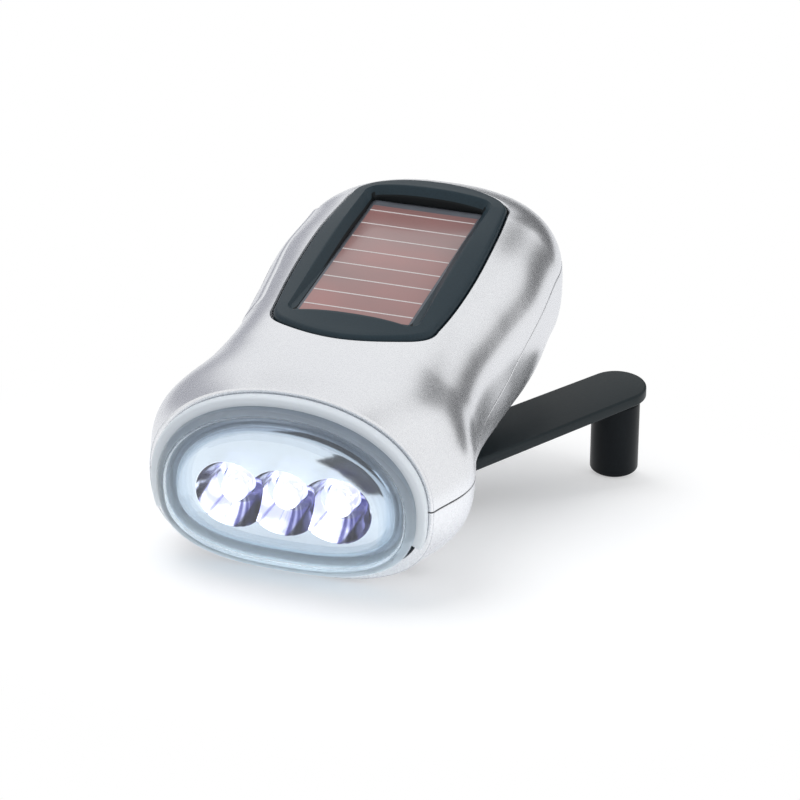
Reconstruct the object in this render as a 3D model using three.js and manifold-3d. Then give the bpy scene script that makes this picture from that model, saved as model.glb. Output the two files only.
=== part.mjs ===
// Hand crank flashlight with a solar panel, in millimetres, +Z up.
// The lens looks along -Y, the tail points along +Y and the switch button is on the -X flank.
// Places along Y are counted from the seam where the clear lens cover meets the silver shells, and
// heights from the flat face of the round collar under the body. The last lines move the whole
// object so that its origin lies on that collar, in front of the crank.
import * as THREE from 'three'
import { mergeVertices } from 'three/addons/utils/BufferGeometryUtils.js'
import loadManifold from 'manifold-3d'

const manifoldLibrary = await loadManifold()
manifoldLibrary.setup()
const { Manifold, Mesh: SolidMesh } = manifoldLibrary

// General clearances and finish of round shapes
const SEAT_GAP = 0.3
const RUNNING_GAP = 0.15
const OVERRUN = 60
const ROUND_STEPS = 18
const SMALL_ROUND_STEPS = 8
const HEX_SIDES = 6

// Body: two moulded shells that share one lofted outer form
const BODY_LENGTH = 106
const BODY_WIDTH = 57.4
const BODY_HEIGHT = 38.3
const LENS_AXIS_HEIGHT = 18.8
const TAIL_AXIS_HEIGHT = 20.8
const SHELL_WALL = 1.8
const RING_POINTS = 24
const BODY_RINGS = 11
const TAIL_RINGS = 5
// Where the sections lie along the body, with the half width, roof and belly of each one
const STATION_SHARES = [0, 0.113, 0.236, 0.358, 0.491, 0.623, 0.755]
const HALF_WIDTH_SHARES = [0.885, 1, 0.892, 0.84, 0.864, 0.906, 0.889]
const ROOF_SHARES = [1, 0.95, 0.924, 0.945, 0.969, 0.982, 0.977]
const BELLY_SHARES = [0.068, 0.023, 0.005, 0.005, 0.005, 0.021, 0.068]
const SQUARING_SHARE = 0.28
const FRONT_UPPER_POWER = 2.1
const REAR_UPPER_POWER = 2.4
const FRONT_LOWER_POWER = 2.7
const REAR_LOWER_POWER = 2.8
const TAIL_PLAN_POWER = 1.8
const TAIL_ROOF_POWER = 1.6
const TAIL_ROOF_ROOT = 0.62

// Part line between the upper and the lower shell
const PART_STATION_SHARES = [0, 0.1, 0.4, 0.64, 1]
const PART_HEIGHT_SHARES = [0.499, 0.473, 0.447, 0.604, 0.62]
const PART_STEPS = 14

// Lens cover, a thick clear cap with a flange that stops short of the underside
const LENS_STEP = 2.4
const LENS_WALL = 2
const LENS_FLANGE_DEPTH = 1.5
const LENS_FLANGE_STEP = 0.8
const LENS_FLANGE_FOOT_HEIGHT = 12.3
const LENS_SIDE_DEPTH = 2.6
const LENS_DOME_DEPTH = 4.9
const LENS_SPIGOT_DEPTH = 2.5
const LENS_DOME_POWER = 4
const LENS_DOME_RINGS = 3

// Reflector with three merged cups, and the light-emitting diodes in them
const CUP_COUNT = 3
const CUP_PITCH = 9.26
const CUP_RADIUS = 6.3
const CUP_DEPTH = 5
const CUP_WALL = 0.9
const CUP_RINGS = 3
const CUP_BACK_RINGS = 2
const FACE_DEPTH = 3.5
const FACE_WALL = 1.2
const FACE_MARGIN = 2
const SHOULDER_DEPTH = 1.6
const SHOULDER_STEPS = 2
const REFLECTOR_SKIRT_BACK = 3.3
const LED_RADIUS = 2.4
const LED_FLANGE_RADIUS = 2.8
const LED_FLANGE_THICKNESS = 1
const LED_BODY_LENGTH = 2.8
const BOARD_THICKNESS = 1.2
const RETAINING_RIB = 1.1
const RETAINING_RIB_REACH = 1.5

// Solar panel and the dark frame round it
const FRAME_FRONT = 25.6
const FRAME_TAIL_MARGIN = 18.4
const FRAME_HALF_WIDTH = 16.2
const FRAME_FRONT_BULGE = 3.9
const FRAME_REAR_BULGE = 2
const FRAME_NARROWING = 1.3
const FRAME_CORNER = 4
const FRAME_RISE = 0.4
const FRAME_FLANGE = 1.6
const FRAME_CURVE_STEPS = 5
const WINDOW_CURVE_STEPS = 2
const WINDOW_FRONT = 34.8
const WINDOW_REAR_MARGIN = 7.2
const WINDOW_WIDTH = 21.3
const WINDOW_CORNER = 1
const WINDOW_BEVEL = 1.5
const PANEL_DROP = 3.4
const PANEL_THICKNESS = 1.6
const PANEL_MARGIN = 0.8
const FRAME_SKIRT = 0.6

// Crank: hub, folding arm and knob
const CRANK_Y = 35
const ARM_ANGLE = THREE.MathUtils.degToRad(54.9)
const HUB_RADIUS = 12
const HUB_DISC_BOTTOM = 3.5
const HUB_DISC_THICKNESS = 3
const HINGE_OFFSET = 5
const HINGE_PIN_RADIUS = 1.1
const HINGE_LUG_RADIUS = 2.6
const HUB_BOSS_RADIUS = 15.7
const SHAFT_RADIUS = 3
const SHAFT_TOP_RADIUS = 2.2
const SHAFT_HEX_RADIUS = 2.9
const KNOB_TAIL_MARGIN = 18.9
const ARM_THICKNESS = 2.2
const ARM_DROP = 0.3
const ARM_WIDTH = 12.8
const ARM_END_RADIUS = 5.7
const ARM_BEVEL = 0.5
const KNOB_RADIUS = 4.6
const KNOB_FOOT = 18.2
const KNOB_NECK = 0.8
const KNOB_CLEARANCE = 0.6
const KNOB_EDGE = 0.5
const KNOB_POST_RADIUS = 2.2
const KNOB_NECK_RADIUS = 2.8
const KNOB_POST_BEAD = 0.35
const KNOB_POST_BEAD_LENGTH = 1.6
const KNOB_CAP = 2

// Gear train: teeth and modules of the three stages, and the turn from each axle to the next
const PRESSURE_ANGLE = THREE.MathUtils.degToRad(25)
const BACKLASH = 0.16
const ADDENDUM = 1
const DEDENDUM = 1.25
const DRIVE_TEETH = 36
const WHEEL_ONE_TEETH = 36
const WHEEL_TWO_TEETH = 34
const PINION_TEETH = 12
const MODULE_ONE = 0.9
const MODULE_TWO = 0.6
const MODULE_THREE = 0.5
const IDLER_ONE_BEARING = THREE.MathUtils.degToRad(90)
const IDLER_TWO_BEARING = THREE.MathUtils.degToRad(30)
const ROTOR_BEARING = THREE.MathUtils.degToRad(170)
const WELL_FLOOR_THICKNESS = 1.6
const BEARING_RISE = 0.2
const DRIVE_FACE = 3.2
const WHEEL_ONE_FACE = 2
const WHEEL_TWO_FACE = 1.6
const STAGE_GAP = 0.6
const AXLE_RADIUS = 1
const AXLE_BOSS_RADIUS = 2.6
const GEAR_COLLAR_RADIUS = 2
const GEAR_WEB_HOLES = 5
const GEAR_WEB_MARGIN = 0.6
const GEAR_PLATE_THICKNESS = 1.2
const PLATE_POST_RADIUS = 2.6
const POST_CLEARANCE = 0.6
// The turn from an axle to the post beside it, in degrees
const POST_TURNS = [-135, -45, 168, 90]
const PLATE_MARGIN = 3.6
const PLATE_CORNER_STEPS = 3
const BOARD_POST_X = 9.3
const BOARD_POST_Y = 9.3
const BOARD_POST_RADIUS = 2
const CLIP_RADIUS = 3.6
const CLIP_THICKNESS = 0.7
const CLIP_GROOVE = 0.5
const CLIP_LAND = 0.7
const CLIP_OPENING = 2.6

// Generator
const GENERATOR_RADIUS = 11
const GENERATOR_WALL = 0.8
const COIL_OUTER_RADIUS = 9.8
const COIL_INNER_RADIUS = 5.6
const MAGNET_RADIUS = 5
const MAGNET_HEIGHT_SHARE = 0.65
const ROTOR_SHAFT_RADIUS = 0.75

// Battery of three button cells, boards and switch
const CELL_RADIUS = 5.6
const CELL_LENGTH = 5.4
const CELL_GAP = 0.3
const CELL_COUNT = 3
const SLEEVE_WALL = 0.4
const SLEEVE_LIP = 1.6
const BOARD_HEADROOM = 2.1
const MAIN_BOARD_FRONT = 7
const MAIN_BOARD_REAR = 66
const MAIN_BOARD_HALF_WIDTH = 12.5
const SWITCH_Y = 59
const SWITCH_LENGTH = 6
const SWITCH_DEPTH = 5
const SWITCH_HEIGHT = 3.6
const PLUNGER_SIZE = 2
const BUTTON_FRONT = 41
const BUTTON_LENGTH = 42
const BUTTON_FRAME_GAP = 0.4
const BUTTON_RISE = 0.3
const BUTTON_TRAVEL = 0.8
const BUTTON_LIP = 0.9
const BUTTON_LIP_THICKNESS = 1.1
const BUTTON_STEPS = 4
const BUTTON_ROUND_SHARE = 0.48

// Screws
const CASE_SCREW_RADIUS = 1.25
const CASE_SCREW_HEAD_RADIUS = 2.4
const CASE_SCREW_HEAD_HEIGHT = 1.6
const CASE_SCREW_LENGTH = 12
const CASE_SCREW_SLOT = 0.7
const SLOT_REACH_SHARE = 0.6
const CASE_BOSS_RADIUS = 3.4
const CASE_BOSS_HEIGHT = 7.6
const FRONT_SCREW_X = 17
const FRONT_SCREW_Y = 12
const FRONT_SCREW_SEAT = 6.4
const TAIL_SCREW_MARGIN = 8.2
const TAIL_SCREW_SEAT = 11.4
const PLATE_SCREW_RADIUS = 0.9
const PLATE_SCREW_HEAD_RADIUS = 1.8
const PLATE_SCREW_HEAD_HEIGHT = 1.1
const PLATE_SCREW_LENGTH = 6

// Heights that follow from the stack of pieces
const HINGE_HEIGHT = 0
const ARM_TOP = -ARM_DROP
const ARM_BOTTOM = ARM_TOP - ARM_THICKNESS
const HUB_TOP = HUB_DISC_BOTTOM + HUB_DISC_THICKNESS
const WELL_CEILING = HUB_TOP + SEAT_GAP
const WELL_FLOOR = WELL_CEILING + WELL_FLOOR_THICKNESS
const DRIVE_BOTTOM = WELL_FLOOR + BEARING_RISE + SEAT_GAP
const WHEEL_ONE_BOTTOM = DRIVE_BOTTOM + DRIVE_FACE + STAGE_GAP
const WHEEL_ONE_TOP = WHEEL_ONE_BOTTOM + WHEEL_ONE_FACE
const IDLER_TWO_BOTTOM = WHEEL_ONE_BOTTOM - SEAT_GAP
const WHEEL_TWO_BOTTOM = WHEEL_ONE_TOP + STAGE_GAP
const WHEEL_TWO_TOP = WHEEL_TWO_BOTTOM + WHEEL_TWO_FACE
const IDLER_TOP = WHEEL_TWO_TOP + SEAT_GAP
const PLATE_BOTTOM = IDLER_TOP + SEAT_GAP
const PLATE_TOP = PLATE_BOTTOM + GEAR_PLATE_THICKNESS
const GENERATOR_BOTTOM = PLATE_TOP + SEAT_GAP
const FRAME_REAR = BODY_LENGTH - FRAME_TAIL_MARGIN
const WINDOW_REAR = FRAME_REAR - WINDOW_REAR_MARGIN
const WINDOW_LENGTH = WINDOW_REAR - WINDOW_FRONT
const FRAME_FACE = bodySection(WINDOW_FRONT + WINDOW_LENGTH / 2, -FRAME_RISE).roof
const PANEL_TOP = FRAME_FACE - PANEL_DROP
const PANEL_BOTTOM = PANEL_TOP - PANEL_THICKNESS
const FRAME_BOTTOM = PANEL_BOTTOM - FRAME_SKIRT
const MAIN_BOARD_TOP = FRAME_BOTTOM - BOARD_HEADROOM
const MAIN_BOARD_BOTTOM = MAIN_BOARD_TOP - BOARD_THICKNESS
const GENERATOR_TOP = MAIN_BOARD_BOTTOM - SEAT_GAP
const PART_TOP = Math.max(...PART_HEIGHT_SHARES) * BODY_HEIGHT
const BUTTON_BOTTOM = PART_TOP + BUTTON_LIP + SEAT_GAP
const BUTTON_TOP = FRAME_BOTTOM - BUTTON_LIP - BUTTON_FRAME_GAP
const BUTTON_HEIGHT = BUTTON_TOP - BUTTON_BOTTOM
const SLEEVE_RADIUS = CELL_RADIUS + RUNNING_GAP + SLEEVE_WALL
const BATTERY_Z = MAIN_BOARD_BOTTOM - SEAT_GAP - SLEEVE_RADIUS
const RECESS_CEILING = ARM_THICKNESS + ARM_DROP + SEAT_GAP
const STOWED_KNOB_Y = BODY_LENGTH - KNOB_TAIL_MARGIN
const ARM_REACH = STOWED_KNOB_Y - CRANK_Y + HINGE_OFFSET
const KNOB_TOP = ARM_BOTTOM - KNOB_NECK
const KNOB_WELL_CEILING = KNOB_FOOT + KNOB_CLEARANCE
const KNOB_POST_FOOT = -KNOB_FOOT + KNOB_CAP + SEAT_GAP
const KNOB_BEAD_LOW = KNOB_POST_FOOT + KNOB_POST_BEAD_LENGTH
const KNOB_BEAD_HIGH = KNOB_BEAD_LOW + KNOB_POST_BEAD_LENGTH
const CLIP_BOTTOM = PLATE_TOP + CLIP_LAND
const CLIP_TOP = CLIP_BOTTOM + CLIP_THICKNESS
const SHAFT_END = CLIP_TOP + CLIP_LAND
const SWITCH_TOP = MAIN_BOARD_BOTTOM - SEAT_GAP
const SWITCH_MIDDLE = SWITCH_TOP - SWITCH_HEIGHT / 2
const LED_BOARD_FRONT = REFLECTOR_SKIRT_BACK + SEAT_GAP
const LED_BOARD_BACK = LED_BOARD_FRONT + BOARD_THICKNESS
const LENS_INNER_STEP = LENS_STEP + LENS_WALL
const REFLECTOR_STEP = LENS_INNER_STEP + SEAT_GAP

// Places of the axles, from the teeth
const pitchRadius = (teeth, module) => teeth * module / 2
const stepFrom = ([x, y], reach, bearing) => [x + reach * Math.cos(bearing), y + reach * Math.sin(bearing)]
const reachOne = pitchRadius(DRIVE_TEETH + PINION_TEETH, MODULE_ONE)
const reachTwo = pitchRadius(WHEEL_ONE_TEETH + PINION_TEETH, MODULE_TWO)
const reachThree = pitchRadius(WHEEL_TWO_TEETH + PINION_TEETH, MODULE_THREE)
const CRANK_AXIS = [0, CRANK_Y]
const IDLER_ONE_AXIS = stepFrom(CRANK_AXIS, reachOne, IDLER_ONE_BEARING)
const IDLER_TWO_AXIS = stepFrom(IDLER_ONE_AXIS, reachTwo, IDLER_TWO_BEARING)
const ROTOR_AXIS = stepFrom(IDLER_TWO_AXIS, reachThree, ROTOR_BEARING)

// Places of the posts that carry the gear plate, clear of the gears, and of the board's posts on it
const DRIVE_TIP = pitchRadius(DRIVE_TEETH, MODULE_ONE) + MODULE_ONE * ADDENDUM
const BATTERY_Y = CRANK_Y - DRIVE_TIP - SEAT_GAP - SLEEVE_RADIUS
const WHEEL_ONE_TIP = pitchRadius(WHEEL_ONE_TEETH, MODULE_TWO) + MODULE_TWO * ADDENDUM
const WHEEL_TWO_TIP = pitchRadius(WHEEL_TWO_TEETH, MODULE_THREE) + MODULE_THREE * ADDENDUM
const POST_NEIGHBOURS = [
  { axis: CRANK_AXIS, tip: DRIVE_TIP },
  { axis: CRANK_AXIS, tip: DRIVE_TIP },
  { axis: IDLER_ONE_AXIS, tip: WHEEL_ONE_TIP },
  { axis: IDLER_TWO_AXIS, tip: WHEEL_TWO_TIP }
]
const PLATE_POSTS = POST_NEIGHBOURS.map(({ axis, tip }, i) =>
  stepFrom(axis, tip + PLATE_POST_RADIUS + POST_CLEARANCE, THREE.MathUtils.degToRad(POST_TURNS[i])))
const BOARD_POSTS = [
  [-BOARD_POST_X, CRANK_Y - BOARD_POST_Y],
  [BOARD_POST_X, CRANK_Y - BOARD_POST_Y],
  [-BOARD_POST_X, CRANK_Y + BOARD_POST_Y],
  [BOARD_POST_X, CRANK_Y + BOARD_POST_Y]
]
const CASE_SCREWS = [
  { x: -FRONT_SCREW_X, y: FRONT_SCREW_Y, seat: FRONT_SCREW_SEAT },
  { x: FRONT_SCREW_X, y: FRONT_SCREW_Y, seat: FRONT_SCREW_SEAT },
  { x: 0, y: BODY_LENGTH - TAIL_SCREW_MARGIN, seat: TAIL_SCREW_SEAT }
]

// Materials
function finish (color, roughness, metalness) {
  return new THREE.MeshStandardMaterial({ color, roughness, metalness })
}

const silverPaint = () => finish(0xc4c6cb, 0.35, 0.6)
const darkPlastic = () => finish(0x2b3136, 0.5, 0)
const clearPlastic = () => Object.assign(finish(0xdfe8ee, 0.05, 0), { transparent: true, opacity: 0.35 })
const chromePlate = () => finish(0xdde2e8, 0.12, 0.9)
const whiteLight = () => finish(0xffffff, 0.1, 0)
const circuitBoard = () => finish(0x2f6b45, 0.6, 0)
const solarGlass = () => finish(0x8a6464, 0.25, 0.1)
const whiteNylon = () => finish(0xe8e6dd, 0.55, 0)
const blackPlastic = () => finish(0x1b1c1e, 0.55, 0)
const steel = () => finish(0x9a9da2, 0.35, 0.9)
const copper = () => finish(0xa8602f, 0.4, 0.8)
const magnetBlack = () => finish(0x3a3a3d, 0.6, 0.2)
const cellSteel = () => finish(0xb9bcc0, 0.3, 0.9)
const sleeveBlue = () => finish(0x2f6fa8, 0.45, 0)

// Solids: to and from three.js geometry
function solid (geometry) {
  const bare = geometry.clone()
  bare.deleteAttribute('normal')
  bare.deleteAttribute('uv')
  const welded = mergeVertices(bare)
  const vertProperties = new Float32Array(welded.attributes.position.array)
  const triVerts = new Uint32Array(welded.index.array)
  return new Manifold(new SolidMesh({ numProp: 3, vertProperties, triVerts }))
}

function geometryOf (shape) {
  const { vertProperties, triVerts, numProp } = shape.getMesh()
  const geometry = new THREE.BufferGeometry()
  const places = new Float32Array(vertProperties.length / numProp * 3)
  for (let i = 0; i < places.length; i++) {
    places[i] = vertProperties[Math.floor(i / 3) * numProp + i % 3]
  }
  geometry.setAttribute('position', new THREE.BufferAttribute(places, 3))
  geometry.setIndex(Array.from(triVerts))
  geometry.computeVertexNormals()
  return geometry
}

function node (name, shape, material) {
  const mesh = new THREE.Mesh(shape.isBufferGeometry ? shape : geometryOf(shape), material)
  mesh.name = name
  return mesh
}

// Simple solids: an upright cylinder, a cylinder along Y or X, an upright prism and a box
function post (x, y, low, high, radius, steps = ROUND_STEPS) {
  const geometry = new THREE.CylinderGeometry(radius, radius, high - low, steps)
  geometry.rotateX(Math.PI / 2)
  return solid(geometry.translate(x, y, (low + high) / 2))
}

function prism (outline, low, high, steps = ROUND_STEPS) {
  const options = { depth: high - low, bevelEnabled: false, curveSegments: steps }
  const geometry = new THREE.ExtrudeGeometry(outline, options)
  return solid(geometry.translate(0, 0, low))
}

function block (xLow, xHigh, yLow, yHigh, zLow, zHigh) {
  const geometry = new THREE.BoxGeometry(xHigh - xLow, yHigh - yLow, zHigh - zLow)
  return solid(geometry.translate((xLow + xHigh) / 2, (yLow + yHigh) / 2, (zLow + zHigh) / 2))
}

function turned (points, steps = ROUND_STEPS) {
  const profile = points.map(([r, h]) => new THREE.Vector2(r, h))
  return solid(new THREE.LatheGeometry(profile, steps).rotateX(Math.PI / 2))
}

function roundedRectangle (xLow, xHigh, yLow, yHigh, corner) {
  const shape = new THREE.Shape()
  shape.absarc(xHigh - corner, yLow + corner, corner, -Math.PI / 2, 0)
  shape.absarc(xHigh - corner, yHigh - corner, corner, 0, Math.PI / 2)
  shape.absarc(xLow + corner, yHigh - corner, corner, Math.PI / 2, Math.PI)
  shape.absarc(xLow + corner, yLow + corner, corner, Math.PI, Math.PI * 3 / 2)
  return shape
}

const joined = (shapes) => Manifold.union(shapes)

// A smooth value along a row of stations, level at the last one
function smoothAt (stations, values, place) {
  const last = stations.length - 1
  let i = 0
  while (i < last - 1 && place > stations[i + 1]) i++
  const slopeAt = (k) => {
    if (k === last) return 0
    const before = Math.max(k - 1, 0)
    return (values[k + 1] - values[before]) / (stations[k + 1] - stations[before])
  }
  const span = stations[i + 1] - stations[i]
  const t = THREE.MathUtils.clamp((place - stations[i]) / span, 0, 1)
  const rise = values[i + 1] - values[i]
  const start = slopeAt(i) * span
  const end = slopeAt(i + 1) * span
  return values[i] + t * (start + t * (3 * rise - 2 * start - end + t * (start + end - 2 * rise)))
}

// The body's section at a place along Y, drawn in by an inset
function bodySection (y, inset) {
  const tailShare = STATION_SHARES[STATION_SHARES.length - 1]
  const share = Math.min(y / BODY_LENGTH, tailShare)
  const settle = THREE.MathUtils.smoothstep(share, 0, SQUARING_SHARE)
  const drift = THREE.MathUtils.smoothstep(share, 0, tailShare)
  const section = {
    half: smoothAt(STATION_SHARES, HALF_WIDTH_SHARES, share) * BODY_WIDTH / 2 - inset,
    roof: smoothAt(STATION_SHARES, ROOF_SHARES, share) * BODY_HEIGHT - inset,
    belly: smoothAt(STATION_SHARES, BELLY_SHARES, share) * BODY_HEIGHT + inset,
    axis: THREE.MathUtils.lerp(LENS_AXIS_HEIGHT, TAIL_AXIS_HEIGHT, drift),
    upperPower: THREE.MathUtils.lerp(FRONT_UPPER_POWER, REAR_UPPER_POWER, settle),
    lowerPower: THREE.MathUtils.lerp(FRONT_LOWER_POWER, REAR_LOWER_POWER, settle)
  }
  const tailStart = tailShare * BODY_LENGTH
  if (y > tailStart) {
    const reach = (y - tailStart) / (BODY_LENGTH - inset - tailStart)
    const plan = Math.sqrt(Math.max(0, 1 - reach ** TAIL_PLAN_POWER))
    const profile = Math.max(0, 1 - reach ** TAIL_ROOF_POWER) ** TAIL_ROOF_ROOT
    section.half *= plan
    section.roof = section.axis + (section.roof - section.axis) * profile
    section.belly = section.axis + (section.belly - section.axis) * plan
  }
  return section
}

function sectionPoint (section, y, turn) {
  const c = Math.cos(turn)
  const s = Math.sin(turn)
  const power = s > 0 ? section.upperPower : section.lowerPower
  const height = s > 0 ? section.roof - section.axis : section.axis - section.belly
  return [
    section.half * Math.sign(c) * Math.abs(c) ** (2 / power),
    y,
    section.axis + height * Math.sign(s) * Math.abs(s) ** (2 / power)
  ]
}

// A closed solid through rings of points; an end closes to the middle of its ring, or to a tip
function loft (rings, tip) {
  const places = rings.flat(2)
  const index = []
  const count = rings[0].length
  const middle = (ring) => [0, 1, 2].map((k) => ring.reduce((sum, p) => sum + p[k], 0) / count)
  for (let r = 0; r + 1 < rings.length; r++) {
    for (let i = 0; i < count; i++) {
      const a = r * count + i
      const b = r * count + (i + 1) % count
      index.push(a, a + count, b, b, a + count, b + count)
    }
  }
  const front = places.length / 3
  places.push(...middle(rings[0]), ...(tip ?? middle(rings[rings.length - 1])))
  const lastRing = (rings.length - 1) * count
  for (let i = 0; i < count; i++) {
    const next = (i + 1) % count
    index.push(front, i, next, front + 1, lastRing + next, lastRing + i)
  }
  const geometry = new THREE.BufferGeometry()
  geometry.setAttribute('position', new THREE.BufferAttribute(new Float32Array(places), 3))
  geometry.setIndex(index)
  return solid(geometry)
}

function ringOf (section, y) {
  const turns = Array.from({ length: RING_POINTS }, (_, i) => i / RING_POINTS * Math.PI * 2)
  return turns.map((turn) => sectionPoint(section, y, turn))
}

// The body's whole form with an inset; an open front runs past the seam
function bodyForm (inset, openFront) {
  const tailStart = STATION_SHARES[STATION_SHARES.length - 1] * BODY_LENGTH
  const tailLength = BODY_LENGTH - inset - tailStart
  const rings = openFront ? [ringOf(bodySection(0, inset), -OVERRUN)] : []
  for (let i = 0; i <= BODY_RINGS; i++) {
    const y = tailStart * i / BODY_RINGS
    rings.push(ringOf(bodySection(y, inset), y))
  }
  for (let i = 1; i < TAIL_RINGS; i++) {
    const y = tailStart + tailLength * Math.sin(i / TAIL_RINGS * Math.PI / 2)
    rings.push(ringOf(bodySection(y, inset), y))
  }
  return loft(rings, [0, tailStart + tailLength, TAIL_AXIS_HEIGHT])
}

// The seam's section drawn in by an inset, as a prism along Y
function seamPrism (inset, from, to) {
  const section = bodySection(0, inset)
  return loft([ringOf(section, from), ringOf(section, to)])
}

// Everything above (or, with a gap, below) the part line
function partBlock (upper) {
  const outline = new THREE.Shape()
  const shift = upper ? SEAT_GAP / 2 : -SEAT_GAP / 2
  const far = upper ? BODY_HEIGHT + OVERRUN : -OVERRUN
  outline.moveTo(-OVERRUN, far)
  for (let i = -1; i <= PART_STEPS + 1; i++) {
    const share = THREE.MathUtils.clamp(i / PART_STEPS, 0, 1)
    const y = i < 0 ? -OVERRUN : i > PART_STEPS ? BODY_LENGTH + OVERRUN : share * BODY_LENGTH
    outline.lineTo(y, smoothAt(PART_STATION_SHARES, PART_HEIGHT_SHARES, share) * BODY_HEIGHT + shift)
  }
  outline.lineTo(BODY_LENGTH + OVERRUN, far)
  const width = BODY_WIDTH + OVERRUN
  const geometry = new THREE.ExtrudeGeometry(outline, { depth: width, bevelEnabled: false })
  geometry.rotateY(Math.PI / 2)
  geometry.rotateX(Math.PI / 2)
  return solid(geometry.translate(-width / 2, 0, 0))
}

// Plan outline of the solar frame, grown by a margin: all four edges are bowed
function frameOutline (margin) {
  const front = FRAME_FRONT - margin
  const rear = FRAME_REAR + margin
  const half = FRAME_HALF_WIDTH + margin
  const side = half - FRAME_NARROWING
  const inner = side - FRAME_CORNER
  const middle = (front + rear) / 2
  const frontEdge = front + FRAME_FRONT_BULGE
  const rearEdge = rear - FRAME_REAR_BULGE
  const frontCorner = frontEdge + FRAME_FRONT_BULGE * 2 * FRAME_CORNER / inner
  const rearCorner = rearEdge - FRAME_REAR_BULGE * 2 * FRAME_CORNER / inner
  const shape = new THREE.Shape()
  shape.moveTo(-inner, frontEdge)
  shape.quadraticCurveTo(0, front - FRAME_FRONT_BULGE, inner, frontEdge)
  shape.quadraticCurveTo(side, frontCorner, side, frontCorner + FRAME_CORNER)
  shape.quadraticCurveTo(half + FRAME_NARROWING, middle, side, rearCorner - FRAME_CORNER)
  shape.quadraticCurveTo(side, rearCorner, inner, rearEdge)
  shape.quadraticCurveTo(0, rear + FRAME_REAR_BULGE, -inner, rearEdge)
  shape.quadraticCurveTo(-side, rearCorner, -side, rearCorner - FRAME_CORNER)
  shape.quadraticCurveTo(-half - FRAME_NARROWING, middle, -side, frontCorner + FRAME_CORNER)
  shape.quadraticCurveTo(-side, frontCorner, -inner, frontEdge)
  return shape
}

// Screw bosses
function caseBoss ({ x, y, seat }, upper) {
  const low = upper ? seat + CASE_BOSS_HEIGHT + SEAT_GAP : 0
  const high = upper ? BODY_HEIGHT : seat + CASE_BOSS_HEIGHT
  return post(x, y, low, high, CASE_BOSS_RADIUS, SMALL_ROUND_STEPS)
}

function caseScrewRoom ({ x, y, seat }) {
  const tip = seat + CASE_SCREW_LENGTH + SEAT_GAP
  const shank = post(x, y, -OVERRUN, tip, CASE_SCREW_RADIUS + RUNNING_GAP, SMALL_ROUND_STEPS)
  const head = post(x, y, -OVERRUN, seat, CASE_SCREW_HEAD_RADIUS + SEAT_GAP, SMALL_ROUND_STEPS)
  return joined([shank, head])
}

// The rib behind the lamp board, inside both shells
function retainingRib () {
  const from = LED_BOARD_BACK + SEAT_GAP
  const ring = bodyForm(SHELL_WALL / 2, false).intersect(
    block(-BODY_WIDTH, BODY_WIDTH, from, from + RETAINING_RIB, -OVERRUN, BODY_HEIGHT + OVERRUN))
  return ring.subtract(seamPrism(REFLECTOR_STEP + RETAINING_RIB_REACH, from - OVERRUN, from + OVERRUN))
}

// Outline of the button on the flank, seen along X and grown by a margin
function buttonPrism (margin, xLow, xHigh) {
  const y = BUTTON_FRONT - margin
  const z = BUTTON_BOTTOM - margin
  const length = BUTTON_LENGTH + margin * 2
  const height = BUTTON_HEIGHT + margin * 2
  const outline = roundedRectangle(y, y + length, z, z + height, height * BUTTON_ROUND_SHARE)
  const options = { depth: xHigh - xLow, bevelEnabled: false, curveSegments: BUTTON_STEPS }
  const geometry = new THREE.ExtrudeGeometry(outline, options)
  geometry.rotateY(Math.PI / 2)
  geometry.rotateX(Math.PI / 2)
  return solid(geometry.translate(xLow, 0, 0))
}

function upperShell () {
  const inside = bodyForm(SHELL_WALL, true)
  const bosses = joined(CASE_SCREWS.map((screw) => caseBoss(screw, true)))
  const roomFloor = FRAME_BOTTOM - SEAT_GAP
  const frameRoom = prism(frameOutline(SEAT_GAP), roomFloor, BODY_HEIGHT + OVERRUN, FRAME_CURVE_STEPS)
  const rooms = [frameRoom, buttonPrism(SEAT_GAP, -BODY_WIDTH, 0), ...CASE_SCREWS.map(caseScrewRoom)]
  let shell = bodyForm(0, false).subtract(inside)
  shell = shell.add(bosses.intersect(bodyForm(SHELL_WALL / 2, false))).add(retainingRib())
  return shell.intersect(partBlock(true)).subtract(joined(rooms))
}

// Plan of the room for the stowed arm, tapered as the arm is
function stowedArmOutline (margin) {
  const shape = new THREE.Shape()
  const wide = ARM_WIDTH / 2 + margin
  const radius = ARM_END_RADIUS + margin
  shape.moveTo(-wide, CRANK_Y)
  shape.lineTo(wide, CRANK_Y)
  shape.lineTo(radius, STOWED_KNOB_Y)
  shape.absarc(0, STOWED_KNOB_Y, radius, 0, Math.PI)
  shape.lineTo(-wide, CRANK_Y)
  return shape
}

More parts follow.
